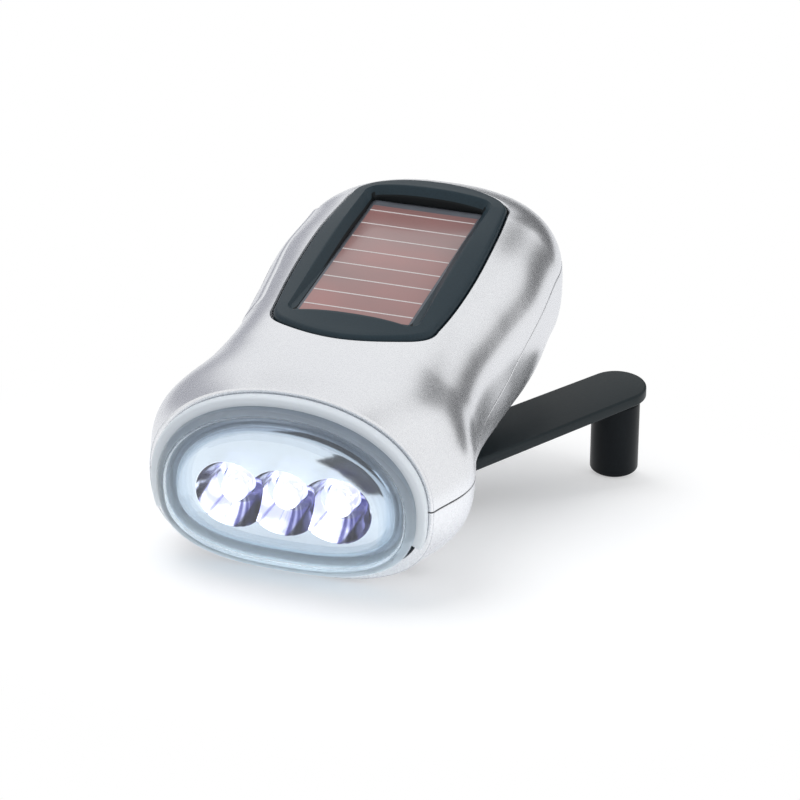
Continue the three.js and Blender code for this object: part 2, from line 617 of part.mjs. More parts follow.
function lowerShell () {
  const inside = bodyForm(SHELL_WALL, true)
  const skin = bodyForm(SHELL_WALL / 2, false)
  const knobWellRadius = KNOB_RADIUS + KNOB_CLEARANCE
  const wellRadius = HUB_RADIUS + SEAT_GAP
  const tall = [
    post(0, STOWED_KNOB_Y, 0, KNOB_WELL_CEILING + SHELL_WALL, knobWellRadius + SHELL_WALL),
    post(...CRANK_AXIS, 0, WELL_FLOOR, HUB_BOSS_RADIUS),
    post(...CRANK_AXIS, 0, WELL_FLOOR + BEARING_RISE, SHAFT_RADIUS + SHELL_WALL),
    prism(stowedArmOutline(SEAT_GAP + SHELL_WALL), 0, RECESS_CEILING + SHELL_WALL, SMALL_ROUND_STEPS),
    post(...IDLER_ONE_AXIS, 0, DRIVE_BOTTOM - SEAT_GAP, AXLE_BOSS_RADIUS, SMALL_ROUND_STEPS),
    post(...IDLER_TWO_AXIS, 0, IDLER_TWO_BOTTOM - SEAT_GAP, AXLE_BOSS_RADIUS, SMALL_ROUND_STEPS),
    ...PLATE_POSTS.map(([x, y]) =>
      post(x, y, 0, PLATE_BOTTOM - SEAT_GAP, PLATE_POST_RADIUS, SMALL_ROUND_STEPS)),
    ...CASE_SCREWS.map((screw) => caseBoss(screw, false))
  ]
  const collar = post(...CRANK_AXIS, 0, RECESS_CEILING, HUB_BOSS_RADIUS)
  const screwBottom = PLATE_TOP - PLATE_SCREW_LENGTH
  const axleFoot = RECESS_CEILING + SHELL_WALL
  const axleRoom = AXLE_RADIUS + RUNNING_GAP
  const rooms = [
    post(...CRANK_AXIS, -OVERRUN, WELL_CEILING, wellRadius),
    post(...CRANK_AXIS, -OVERRUN, OVERRUN, SHAFT_RADIUS + RUNNING_GAP),
    prism(stowedArmOutline(SEAT_GAP), -OVERRUN, RECESS_CEILING, SMALL_ROUND_STEPS),
    post(0, STOWED_KNOB_Y, -OVERRUN, KNOB_WELL_CEILING, knobWellRadius),
    post(...IDLER_ONE_AXIS, axleFoot, OVERRUN, axleRoom, SMALL_ROUND_STEPS),
    post(...IDLER_TWO_AXIS, axleFoot, OVERRUN, axleRoom, SMALL_ROUND_STEPS),
    ...PLATE_POSTS.map(([x, y]) =>
      post(x, y, screwBottom - SEAT_GAP, PLATE_TOP, PLATE_SCREW_RADIUS + RUNNING_GAP, SMALL_ROUND_STEPS)),
    ...CASE_SCREWS.map(caseScrewRoom)
  ]
  let shell = bodyForm(0, false).subtract(inside)
  shell = shell.add(joined(tall).intersect(skin)).add(retainingRib())
  shell = shell.intersect(partBlock(false)).add(collar)
  return shell.subtract(joined(rooms))
}

// The lens cover's domed stack of sections, with its step, its side depth and its dome
function lensForm (step, sideDepth, domeDepth, back) {
  const side = bodySection(0, step)
  const rings = [ringOf(side, back), ringOf(side, -sideDepth)]
  for (let i = 1; i <= LENS_DOME_RINGS; i++) {
    const turn = i / (LENS_DOME_RINGS + 1) * Math.PI / 2
    const scale = Math.cos(turn) ** (2 / LENS_DOME_POWER)
    const depth = sideDepth + domeDepth * Math.sin(turn)
    rings.push(ringOf(scaledSection(side, scale), -depth))
  }
  return loft(rings.reverse())
}

function scaledSection (section, scale) {
  const middle = (section.roof + section.belly) / 2
  const axis = middle + (section.axis - middle) * scale
  return {
    ...section,
    half: section.half * scale,
    roof: middle + (section.roof - middle) * scale,
    belly: middle + (section.belly - middle) * scale,
    axis
  }
}

function lensCover () {
  const spigotStep = SHELL_WALL + SEAT_GAP
  const outer = lensForm(LENS_STEP, LENS_SIDE_DEPTH, LENS_DOME_DEPTH, 0)
  const spigot = seamPrism(spigotStep, -LENS_SIDE_DEPTH, LENS_SPIGOT_DEPTH)
  const waist = outer.add(spigot.intersect(seamPrism(LENS_STEP, -OVERRUN, OVERRUN)))
  const flange = seamPrism(LENS_FLANGE_STEP, -LENS_FLANGE_DEPTH - SEAT_GAP, -SEAT_GAP).intersect(
    block(-BODY_WIDTH, BODY_WIDTH, -OVERRUN, OVERRUN, LENS_FLANGE_FOOT_HEIGHT, BODY_HEIGHT + OVERRUN))
  const hollow = lensForm(LENS_INNER_STEP, LENS_SIDE_DEPTH, LENS_DOME_DEPTH - LENS_WALL, OVERRUN)
  return waist.add(flange).subtract(hollow)
}

// A cup as a turned solid along Y: straight in front of the face, then a parabola, then the throat
function cupForm (x, radius, throat, count) {
  const points = [[0, -FACE_DEPTH - OVERRUN], [radius, -FACE_DEPTH - OVERRUN]]
  for (let i = 0; i <= count; i++) {
    const share = i / count
    points.push([throat + (radius - throat) * Math.sqrt(1 - share), -FACE_DEPTH + CUP_DEPTH * share])
  }
  points.push([throat, REFLECTOR_SKIRT_BACK], [0, REFLECTOR_SKIRT_BACK])
  const profile = points.map(([r, h]) => new THREE.Vector2(r, h))
  return solid(new THREE.LatheGeometry(profile, ROUND_STEPS)).translate([x, 0, LENS_AXIS_HEIGHT])
}

const cupPlaces = Array.from({ length: CUP_COUNT }, (_, i) => (i - (CUP_COUNT - 1) / 2) * CUP_PITCH)

function reflector () {
  const skirt = bodySection(0, REFLECTOR_STEP)
  const rings = [ringOf(skirt, REFLECTOR_SKIRT_BACK)]
  for (let i = 0; i <= SHOULDER_STEPS; i++) {
    const turn = i / SHOULDER_STEPS * Math.PI / 2
    const inset = FACE_MARGIN * (1 - Math.cos(turn))
    const y = -FACE_DEPTH + SHOULDER_DEPTH * (1 - Math.sin(turn))
    rings.push(ringOf(bodySection(0, REFLECTOR_STEP + inset), y))
  }
  const outer = loft(rings.reverse())
  const hollow = seamPrism(REFLECTOR_STEP + FACE_WALL, -FACE_DEPTH + SHOULDER_DEPTH + FACE_WALL, OVERRUN)
    .add(seamPrism(REFLECTOR_STEP + FACE_MARGIN, -FACE_DEPTH + FACE_WALL, OVERRUN))
  const throat = LED_FLANGE_RADIUS + RUNNING_GAP
  const backs = cupPlaces.map((x) => cupForm(x, CUP_RADIUS + CUP_WALL, throat + CUP_WALL, CUP_BACK_RINGS))
  const cups = cupPlaces.map((x) => cupForm(x, CUP_RADIUS, throat, CUP_RINGS))
  const throats = cupPlaces.map((x) => throatRoom(x, throat))
  return outer.subtract(hollow).add(joined(backs).intersect(outer)).subtract(joined([...cups, ...throats]))
}

// The way through a throat, out of the back of the reflector
function throatRoom (x, throat) {
  const geometry = new THREE.CylinderGeometry(throat, throat, OVERRUN, ROUND_STEPS)
  return solid(geometry.translate(x, REFLECTOR_SKIRT_BACK, LENS_AXIS_HEIGHT))
}

function led () {
  const points = [
    [0, 0],
    [LED_FLANGE_RADIUS, 0],
    [LED_FLANGE_RADIUS, LED_FLANGE_THICKNESS],
    [LED_RADIUS, LED_FLANGE_THICKNESS]
  ]
  const shoulder = LED_FLANGE_THICKNESS + LED_BODY_LENGTH
  for (let i = 0; i <= SHOULDER_STEPS; i++) {
    const turn = i / SHOULDER_STEPS * Math.PI / 2
    points.push([LED_RADIUS * Math.cos(turn), shoulder + LED_RADIUS * Math.sin(turn)])
  }
  points[points.length - 1][0] = 0
  return turned(points, SMALL_ROUND_STEPS).rotate([90, 0, 0])
}

function ledBoard () {
  return seamPrism(REFLECTOR_STEP, LED_BOARD_FRONT, LED_BOARD_BACK)
}

function solarFrame () {
  const top = BODY_HEIGHT + OVERRUN
  const above = block(-BODY_WIDTH, BODY_WIDTH, 0, BODY_LENGTH + OVERRUN, FRAME_BOTTOM, top)
  const crown = bodyForm(-FRAME_RISE, false).intersect(prism(frameOutline(0), 0, top, FRAME_CURVE_STEPS))
  const flange = bodyForm(SHELL_WALL + SEAT_GAP, false)
    .intersect(prism(frameOutline(FRAME_FLANGE), 0, top, FRAME_CURVE_STEPS))
  const half = WINDOW_WIDTH / 2
  const outline = roundedRectangle(-half, half, WINDOW_FRONT, WINDOW_REAR, WINDOW_CORNER)
  const window = prism(outline, 0, top, WINDOW_CURVE_STEPS)
  const lap = PANEL_MARGIN + SEAT_GAP
  const ceiling = PANEL_TOP + SEAT_GAP
  const pocket = block(-half - lap, half + lap, WINDOW_FRONT - lap, WINDOW_REAR + lap, 0, ceiling)
  return crown.add(flange).intersect(above).subtract(window).subtract(pocket).subtract(windowBevel())
}

// A slanted cut round the window, from its edge up to the frame's face
function windowBevel () {
  const ringAt = (grow, z) => {
    const half = WINDOW_WIDTH / 2 + grow
    const front = WINDOW_FRONT - grow
    const rear = WINDOW_REAR + grow
    return [[-half, front, z], [-half, rear, z], [half, rear, z], [half, front, z]]
  }
  return loft([
    ringAt(0, FRAME_FACE - WINDOW_BEVEL),
    ringAt(WINDOW_BEVEL, FRAME_FACE),
    ringAt(WINDOW_BEVEL * 2, FRAME_FACE + WINDOW_BEVEL)
  ])
}

function solarPanel () {
  const half = WINDOW_WIDTH / 2 + PANEL_MARGIN
  const front = WINDOW_FRONT - PANEL_MARGIN
  return block(-half, half, front, WINDOW_REAR + PANEL_MARGIN, PANEL_BOTTOM, PANEL_TOP)
}

function sideButton () {
  const lipOut = SHELL_WALL + SEAT_GAP
  const face = bodyForm(-BUTTON_RISE, false).intersect(buttonPrism(0, -BODY_WIDTH, 0))
  const lip = bodyForm(lipOut, false).intersect(buttonPrism(BUTTON_LIP, -BODY_WIDTH, 0))
  return face.add(lip).subtract(bodyForm(lipOut + BUTTON_LIP_THICKNESS, false))
}

// Half width of the inside of the button at the plunger's upper edge
function buttonInnerFace () {
  const section = bodySection(SWITCH_Y, SHELL_WALL + SEAT_GAP + BUTTON_LIP_THICKNESS)
  const upperEdge = SWITCH_MIDDLE + PLUNGER_SIZE / 2
  const height = (upperEdge - section.axis) / (section.roof - section.axis)
  return section.half * (1 - height ** section.upperPower) ** (1 / section.upperPower)
}

const SWITCH_FRONT_X = -(buttonInnerFace() - SEAT_GAP - BUTTON_TRAVEL * 2 - PLUNGER_SIZE)

function pushSwitch () {
  const back = SWITCH_FRONT_X + SWITCH_DEPTH
  const half = SWITCH_LENGTH / 2
  const body = block(SWITCH_FRONT_X, back, SWITCH_Y - half, SWITCH_Y + half,
    SWITCH_TOP - SWITCH_HEIGHT, SWITCH_TOP)
  const room = PLUNGER_SIZE / 2 + RUNNING_GAP
  const end = SWITCH_FRONT_X + SWITCH_DEPTH / 2 + BUTTON_TRAVEL
  return body.subtract(block(SWITCH_FRONT_X - OVERRUN, end, SWITCH_Y - room, SWITCH_Y + room,
    SWITCH_MIDDLE - room, SWITCH_MIDDLE + room))
}

function switchPlunger () {
  const half = PLUNGER_SIZE / 2
  return block(-buttonInnerFace() + SEAT_GAP, SWITCH_FRONT_X + SWITCH_DEPTH / 2 - SEAT_GAP,
    SWITCH_Y - half, SWITCH_Y + half, SWITCH_MIDDLE - half, SWITCH_MIDDLE + half)
}

function mainBoard () {
  const sheet = block(-MAIN_BOARD_HALF_WIDTH, MAIN_BOARD_HALF_WIDTH, MAIN_BOARD_FRONT, MAIN_BOARD_REAR,
    MAIN_BOARD_BOTTOM, MAIN_BOARD_TOP)
  const tab = block(SWITCH_FRONT_X + BUTTON_TRAVEL, 0, SWITCH_Y - SWITCH_LENGTH, SWITCH_Y + SWITCH_LENGTH,
    MAIN_BOARD_BOTTOM, MAIN_BOARD_TOP)
  return sheet.add(tab)
}

// Outline of a gear, a tooth centred on the given turn. The flanks follow the involute: a pinion's,
// which bend more, have one more point than a wheel's.
function gearOutline (teeth, module, turn) {
  const pitch = pitchRadius(teeth, module)
  const base = pitch * Math.cos(PRESSURE_ANGLE)
  const tip = pitch + module * ADDENDUM
  const root = pitch - module * DEDENDUM
  const involute = (angle) => Math.tan(angle) - angle
  const halfAt = (radius) => (Math.PI * module / 2 - BACKLASH / 2) / (pitch * 2) +
    involute(PRESSURE_ANGLE) - involute(Math.acos(Math.min(1, base / radius)))
  const flank = [[root, halfAt(Math.max(root, base))], [tip, halfAt(tip)]]
  if (root < base) flank.splice(1, 0, [pitch, halfAt(pitch)])
  const points = []
  for (let k = 0; k < teeth; k++) {
    const centre = turn + k / teeth * Math.PI * 2
    const rising = flank.map(([radius, half]) => [radius, centre - half])
    const falling = flank.map(([radius, half]) => [radius, centre + half]).reverse()
    for (const [radius, angle] of [...rising, ...falling]) {
      points.push(new THREE.Vector2(radius * Math.cos(angle), radius * Math.sin(angle)))
    }
  }
  return new THREE.Shape(points)
}

// Turn of a gear that meshes with another one: a gap faces the other's tooth
function meshedTurn (turn, teeth, otherTeeth, bearing) {
  return bearing + Math.PI + Math.PI / otherTeeth - (turn - bearing) * teeth / otherTeeth
}

const DRIVE_TURN = ARM_ANGLE
const IDLER_ONE_TURN = meshedTurn(DRIVE_TURN, DRIVE_TEETH, PINION_TEETH, IDLER_ONE_BEARING)
const IDLER_TWO_TURN = meshedTurn(IDLER_ONE_TURN, WHEEL_ONE_TEETH, PINION_TEETH, IDLER_TWO_BEARING)
const ROTOR_TURN = meshedTurn(IDLER_TWO_TURN, WHEEL_TWO_TEETH, PINION_TEETH, ROTOR_BEARING)

function driveGear () {
  const rim = pitchRadius(DRIVE_TEETH, MODULE_ONE) - MODULE_ONE * (DEDENDUM + 1)
  const hub = SHAFT_RADIUS + SHELL_WALL
  const holeRadius = (rim - hub) / 2 - GEAR_WEB_MARGIN
  const holeReach = (rim + hub) / 2
  const body = prism(gearOutline(DRIVE_TEETH, MODULE_ONE, 0), DRIVE_BOTTOM, DRIVE_BOTTOM + DRIVE_FACE)
  const collar = post(0, 0, DRIVE_BOTTOM, IDLER_TOP, hub)
  const holes = Array.from({ length: GEAR_WEB_HOLES }, (_, i) => {
    const place = stepFrom([0, 0], holeReach, i / GEAR_WEB_HOLES * Math.PI * 2)
    return post(...place, 0, OVERRUN, holeRadius, SMALL_ROUND_STEPS)
  })
  const hexagon = post(0, 0, 0, OVERRUN, SHAFT_HEX_RADIUS + RUNNING_GAP, HEX_SIDES)
  return body.add(collar).subtract(joined([...holes, hexagon]))
}

// A wheel and a pinion moulded in one, with a bore for its axle
function compoundGear (pinionModule, wheelTeeth, wheelModule, low, wheelLow, wheelHigh) {
  const pinion = prism(gearOutline(PINION_TEETH, pinionModule, 0), low, wheelLow)
  const wheel = prism(gearOutline(wheelTeeth, wheelModule, 0), wheelLow, wheelHigh)
  const collar = post(0, 0, low, IDLER_TOP, GEAR_COLLAR_RADIUS, SMALL_ROUND_STEPS)
  const bore = post(0, 0, 0, OVERRUN, AXLE_RADIUS + RUNNING_GAP, SMALL_ROUND_STEPS)
  return pinion.add(wheel).add(collar).subtract(bore)
}

function axle ([x, y]) {
  return post(x, y, RECESS_CEILING + SHELL_WALL + SEAT_GAP, PLATE_TOP, AXLE_RADIUS, SMALL_ROUND_STEPS)
}

function gearPlate () {
  const xs = PLATE_POSTS.map(([x]) => x)
  const ys = PLATE_POSTS.map(([, y]) => y)
  const outline = roundedRectangle(Math.min(...xs) - PLATE_MARGIN, Math.max(...xs) + PLATE_MARGIN,
    Math.min(...ys) - PLATE_MARGIN, Math.max(...ys) + PLATE_MARGIN, PLATE_MARGIN)
  const posts = BOARD_POSTS.map(([x, y]) =>
    post(x, y, PLATE_BOTTOM, MAIN_BOARD_BOTTOM - SEAT_GAP, BOARD_POST_RADIUS, SMALL_ROUND_STEPS))
  const rotorHole = pitchRadius(PINION_TEETH, MODULE_THREE) + MODULE_THREE * ADDENDUM + SEAT_GAP
  const holes = [
    post(...CRANK_AXIS, 0, OVERRUN, SHAFT_TOP_RADIUS + RUNNING_GAP),
    post(...IDLER_ONE_AXIS, 0, OVERRUN, AXLE_RADIUS + RUNNING_GAP, SMALL_ROUND_STEPS),
    post(...IDLER_TWO_AXIS, 0, OVERRUN, AXLE_RADIUS + RUNNING_GAP, SMALL_ROUND_STEPS),
    post(...ROTOR_AXIS, 0, OVERRUN, rotorHole),
    ...PLATE_POSTS.map(([x, y]) =>
      post(x, y, 0, OVERRUN, PLATE_SCREW_RADIUS + RUNNING_GAP, SMALL_ROUND_STEPS)),
    batteryRoom()
  ]
  const sheet = prism(outline, PLATE_BOTTOM, PLATE_TOP, PLATE_CORNER_STEPS)
  return sheet.add(joined(posts)).subtract(joined(holes))
}

function generatorCase () {
  const outer = post(0, 0, GENERATOR_BOTTOM, GENERATOR_TOP, GENERATOR_RADIUS)
  const innerRadius = GENERATOR_RADIUS - GENERATOR_WALL
  const hollow = post(0, 0, GENERATOR_BOTTOM + GENERATOR_WALL, GENERATOR_TOP - GENERATOR_WALL, innerRadius)
  const bore = post(0, 0, 0, OVERRUN, ROTOR_SHAFT_RADIUS + RUNNING_GAP, SMALL_ROUND_STEPS)
  return outer.subtract(hollow).subtract(bore)
}

function generatorCoil () {
  const low = GENERATOR_BOTTOM + GENERATOR_WALL + SEAT_GAP
  const high = GENERATOR_TOP - GENERATOR_WALL - SEAT_GAP
  return post(0, 0, low, high, COIL_OUTER_RADIUS).subtract(post(0, 0, 0, OVERRUN, COIL_INNER_RADIUS))
}

function rotorMagnet () {
  const middle = (GENERATOR_BOTTOM + GENERATOR_TOP) / 2
  const half = ((GENERATOR_TOP - GENERATOR_BOTTOM) / 2 - GENERATOR_WALL) * MAGNET_HEIGHT_SHARE
  const bore = post(0, 0, 0, OVERRUN, ROTOR_SHAFT_RADIUS + RUNNING_GAP, SMALL_ROUND_STEPS)
  return post(0, 0, middle - half, middle + half, MAGNET_RADIUS).subtract(bore)
}

function rotorShaft () {
  return post(0, 0, WHEEL_TWO_BOTTOM - SEAT_GAP, GENERATOR_TOP, ROTOR_SHAFT_RADIUS, SMALL_ROUND_STEPS)
}

function rotorPinion () {
  const bore = post(0, 0, 0, OVERRUN, ROTOR_SHAFT_RADIUS + RUNNING_GAP, SMALL_ROUND_STEPS)
  const teeth = prism(gearOutline(PINION_TEETH, MODULE_THREE, 0), WHEEL_TWO_BOTTOM - SEAT_GAP, PLATE_BOTTOM)
  return teeth.subtract(bore)
}

// The crank's pieces lie along +X, round the crank axis; their group is turned to the arm's angle
function crankHub () {
  const channel = ARM_WIDTH / 2 + SEAT_GAP
  const disc = post(0, 0, HINGE_HEIGHT, HUB_TOP, HUB_RADIUS)
  const round = post(0, 0, -OVERRUN, HUB_TOP, HUB_RADIUS)
  const lugs = turnedAcross(HINGE_LUG_RADIUS, HUB_RADIUS * 2).intersect(round)
  const journal = post(0, 0, HUB_TOP, DRIVE_BOTTOM, SHAFT_RADIUS)
  const hexagon = post(0, 0, DRIVE_BOTTOM, IDLER_TOP, SHAFT_HEX_RADIUS, HEX_SIDES)
  const top = post(0, 0, IDLER_TOP, SHAFT_END, SHAFT_TOP_RADIUS)
  const groove = post(0, 0, CLIP_BOTTOM - RUNNING_GAP, CLIP_TOP + RUNNING_GAP, HUB_RADIUS)
    .subtract(post(0, 0, 0, OVERRUN, SHAFT_TOP_RADIUS - CLIP_GROOVE))
  const slot = block(-OVERRUN, OVERRUN, -channel, channel, -OVERRUN, HUB_DISC_BOTTOM)
  const pinRoom = turnedAcross(HINGE_PIN_RADIUS + RUNNING_GAP, OVERRUN)
  return joined([disc, lugs, journal, hexagon, top]).subtract(joined([slot, pinRoom, groove]))
}

// A cylinder across the arm, on the hinge's axis
function turnedAcross (radius, length) {
  const geometry = new THREE.CylinderGeometry(radius, radius, length, ROUND_STEPS)
  return solid(geometry.translate(HINGE_OFFSET, 0, HINGE_HEIGHT))
}

function hingePin () {
  const half = Math.sqrt(HUB_RADIUS ** 2 - (HINGE_OFFSET + HINGE_PIN_RADIUS) ** 2) - SEAT_GAP
  return turnedAcross(HINGE_PIN_RADIUS, half * 2)
}

// Plan of the arm, from the hinge to its round end
function armOutline (inset) {
  const wide = ARM_WIDTH / 2 - inset
  const radius = ARM_END_RADIUS - inset
  const end = HINGE_OFFSET + ARM_REACH
  const shape = new THREE.Shape()
  shape.moveTo(HINGE_OFFSET, -wide)
  shape.lineTo(end, -radius)
  shape.absarc(end, 0, radius, -Math.PI / 2, Math.PI / 2)
  shape.lineTo(HINGE_OFFSET, wide)
  return shape
}

function crankArm () {
  const core = prism(armOutline(0), ARM_BOTTOM, ARM_TOP - ARM_BEVEL, SMALL_ROUND_STEPS)
  const face = prism(armOutline(ARM_BEVEL), ARM_BOTTOM, ARM_TOP, SMALL_ROUND_STEPS)
  const knuckleRadius = HINGE_HEIGHT - ARM_BOTTOM
  const knuckle = turnedAcross(knuckleRadius, ARM_WIDTH)
  const end = HINGE_OFFSET + ARM_REACH
  const neck = post(end, 0, KNOB_TOP + SEAT_GAP, ARM_BOTTOM + ARM_BEVEL, KNOB_NECK_RADIUS)
  const stem = post(end, 0, KNOB_POST_FOOT, ARM_BOTTOM + ARM_BEVEL, KNOB_POST_RADIUS)
  const bead = post(end, 0, KNOB_BEAD_LOW, KNOB_BEAD_HIGH, KNOB_POST_RADIUS + KNOB_POST_BEAD)
  const pinRoom = turnedAcross(HINGE_PIN_RADIUS + RUNNING_GAP, OVERRUN)
  return joined([core, face, knuckle, neck, stem, bead]).subtract(pinRoom)
}

function crankKnob () {
  const end = HINGE_OFFSET + ARM_REACH
  const bore = KNOB_POST_RADIUS + RUNNING_GAP
  const profile = [
    [0, -KNOB_FOOT], [KNOB_RADIUS - KNOB_EDGE, -KNOB_FOOT], [KNOB_RADIUS, -KNOB_FOOT + KNOB_EDGE],
    [KNOB_RADIUS, KNOB_TOP - KNOB_EDGE], [KNOB_RADIUS - KNOB_EDGE, KNOB_TOP], [0, KNOB_TOP]
  ]
  const groove = post(0, 0, KNOB_BEAD_LOW - SEAT_GAP, KNOB_BEAD_HIGH + SEAT_GAP, bore + KNOB_POST_BEAD)
  const hole = post(0, 0, KNOB_POST_FOOT - SEAT_GAP, OVERRUN, bore)
  const body = turned(profile).subtract(hole).subtract(groove)
  return body.translate([end, 0, 0])
}

function retainingClip () {
  const inner = SHAFT_TOP_RADIUS - CLIP_GROOVE + RUNNING_GAP
  const ring = post(0, 0, CLIP_BOTTOM, CLIP_TOP, CLIP_RADIUS).subtract(post(0, 0, 0, OVERRUN, inner))
  return ring.subtract(block(0, OVERRUN, -CLIP_OPENING / 2, CLIP_OPENING / 2, 0, OVERRUN))
}

function batteryCell (i) {
  const x = (i - (CELL_COUNT - 1) / 2) * (CELL_LENGTH + CELL_GAP)
  const geometry = new THREE.CylinderGeometry(CELL_RADIUS, CELL_RADIUS, CELL_LENGTH, ROUND_STEPS)
  return solid(geometry.rotateZ(Math.PI / 2).translate(x, BATTERY_Y, BATTERY_Z))
}

const batteryHalfLength = (CELL_LENGTH * CELL_COUNT + CELL_GAP * (CELL_COUNT - 1)) / 2 + SEAT_GAP

// The room that the battery takes, with a gap all round
function batteryRoom () {
  const length = (batteryHalfLength + SLEEVE_WALL + SEAT_GAP) * 2
  const radius = SLEEVE_RADIUS + SEAT_GAP
  const geometry = new THREE.CylinderGeometry(radius, radius, length, ROUND_STEPS)
  return solid(geometry.rotateZ(Math.PI / 2).translate(0, BATTERY_Y, BATTERY_Z))
}

function batterySleeve () {
  const half = batteryHalfLength
  const inner = CELL_RADIUS + RUNNING_GAP
  const lip = inner - SLEEVE_LIP
  const end = half + SLEEVE_WALL
  const profile = [
    [SLEEVE_RADIUS, -end], [SLEEVE_RADIUS, end], [lip, end], [lip, half],
    [inner, half], [inner, -half], [lip, -half], [lip, -end], [SLEEVE_RADIUS, -end]
  ]
  return turned(profile).rotate([0, 90, 0]).translate([0, BATTERY_Y, BATTERY_Z])
}

// A screw, head down
function screw (radius, headRadius, headHeight, length) {
  const profile = [
    [0, -headHeight], [headRadius, -headHeight], [headRadius, 0], [radius, 0], [radius, length], [0, length]
  ]
  return turned(profile, SMALL_ROUND_STEPS)
}

// The cross slot of a case screw's head
function crossSlot () {
  const arm = CASE_SCREW_HEAD_RADIUS * SLOT_REACH_SHARE
  const half = CASE_SCREW_SLOT / 2
  const high = -CASE_SCREW_HEAD_HEIGHT / 2
  return block(-arm, arm, -half, half, -OVERRUN, high).add(block(-half, half, -arm, arm, -OVERRUN, high))
}

// Assembly
const part = new THREE.Group()
const front = new THREE.Group()
const power = new THREE.Group()
const crank = new THREE.Group()
part.add(front, power, crank)

part.add(node('upper_shell', upperShell(), silverPaint()))
part.add(node('lower_shell', lowerShell(), silverPaint()))
part.add(node('solar_frame', solarFrame(), darkPlastic()))
part.add(node('solar_panel', solarPanel(), solarGlass()))
part.add(node('side_button', sideButton(), silverPaint()))

front.add(node('lens_cover', lensCover(), clearPlastic()))
front.add(node('reflector', reflector(), chromePlate()))
front.add(node('led_board', ledBoard(), circuitBoard()))
const ledShape = led()
cupPlaces.forEach((x, i) => {
  const lamp = node(`led_${i + 1}`, ledShape, whiteLight())
  lamp.position.set(x, REFLECTOR_SKIRT_BACK, LENS_AXIS_HEIGHT)
  front.add(lamp)
})

power.add(node('push_switch', pushSwitch(), blackPlastic()))
power.add(node('switch_plunger', switchPlunger(), whiteNylon()))
power.add(node('main_board', mainBoard(), circuitBoard()))
for (let i = 0; i < CELL_COUNT; i++) {
  power.add(node(`battery_cell_${i + 1}`, batteryCell(i), cellSteel()))
}
power.add(node('battery_sleeve', batterySleeve(), sleeveBlue()))
power.add(node('gear_plate', gearPlate(), blackPlastic()))
power.add(node('idler_axle_1', axle(IDLER_ONE_AXIS), steel()))
power.add(node('idler_axle_2', axle(IDLER_TWO_AXIS), steel()))

function placed (mesh, [x, y], turn) {
  mesh.position.set(x, y, 0)
  mesh.rotation.z = turn
  return mesh
}

const idlerOne = compoundGear(MODULE_ONE, WHEEL_ONE_TEETH, MODULE_TWO,
  DRIVE_BOTTOM, WHEEL_ONE_BOTTOM, WHEEL_ONE_TOP)
const idlerTwo = compoundGear(MODULE_TWO, WHEEL_TWO_TEETH, MODULE_THREE,
  IDLER_TWO_BOTTOM, WHEEL_TWO_BOTTOM, WHEEL_TWO_TOP)
power.add(placed(node('idler_gear_1', idlerOne, whiteNylon()), IDLER_ONE_AXIS, IDLER_ONE_TURN))
power.add(placed(node('idler_gear_2', idlerTwo, whiteNylon()), IDLER_TWO_AXIS, IDLER_TWO_TURN))
power.add(placed(node('generator_case', generatorCase(), steel()), ROTOR_AXIS, 0))
power.add(placed(node('generator_coil', generatorCoil(), copper()), ROTOR_AXIS, 0))
power.add(placed(node('rotor_magnet', rotorMagnet(), magnetBlack()), ROTOR_AXIS, 0))
power.add(placed(node('rotor_shaft', rotorShaft(), steel()), ROTOR_AXIS, 0))
power.add(placed(node('rotor_pinion', rotorPinion(), whiteNylon()), ROTOR_AXIS, ROTOR_TURN))

crank.add(node('drive_gear', driveGear(), whiteNylon()))
crank.add(node('crank_hub', crankHub(), darkPlastic()))
crank.add(node('retaining_clip', retainingClip(), steel()))
crank.add(node('hinge_pin', hingePin(), steel()))
crank.add(node('crank_arm', crankArm(), darkPlastic()))
crank.add(node('crank_knob', crankKnob(), blackPlastic()))
placed(crank, CRANK_AXIS, ARM_ANGLE)

const caseScrew = screw(CASE_SCREW_RADIUS, CASE_SCREW_HEAD_RADIUS, CASE_SCREW_HEAD_HEIGHT,
  CASE_SCREW_LENGTH).subtract(crossSlot())
CASE_SCREWS.forEach(({ x, y, seat }, i) => {
  const mesh = node(`case_screw_${i + 1}`, caseScrew, steel())
  mesh.position.set(x, y, seat - SEAT_GAP)
  part.add(mesh)
})
const plateScrew = screw(PLATE_SCREW_RADIUS, PLATE_SCREW_HEAD_RADIUS, PLATE_SCREW_HEAD_HEIGHT,
  PLATE_SCREW_LENGTH)
PLATE_POSTS.forEach(([x, y], i) => {
  const mesh = node(`plate_screw_${i + 1}`, plateScrew, steel())
  mesh.position.set(x, y, PLATE_TOP + SEAT_GAP)
  mesh.rotation.x = Math.PI
  power.add(mesh)
})

// The origin lies on the collar's flat face, midway between its well and its rim
part.position.y = (HUB_RADIUS + SEAT_GAP + HUB_BOSS_RADIUS) / 2 - CRANK_Y

export default part
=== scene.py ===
"""Hand crank flashlight with a solar window, standing on its nose and its crank knob."""

import math

import bmesh
import bpy
import numpy as np
from mathutils import Matrix, Vector


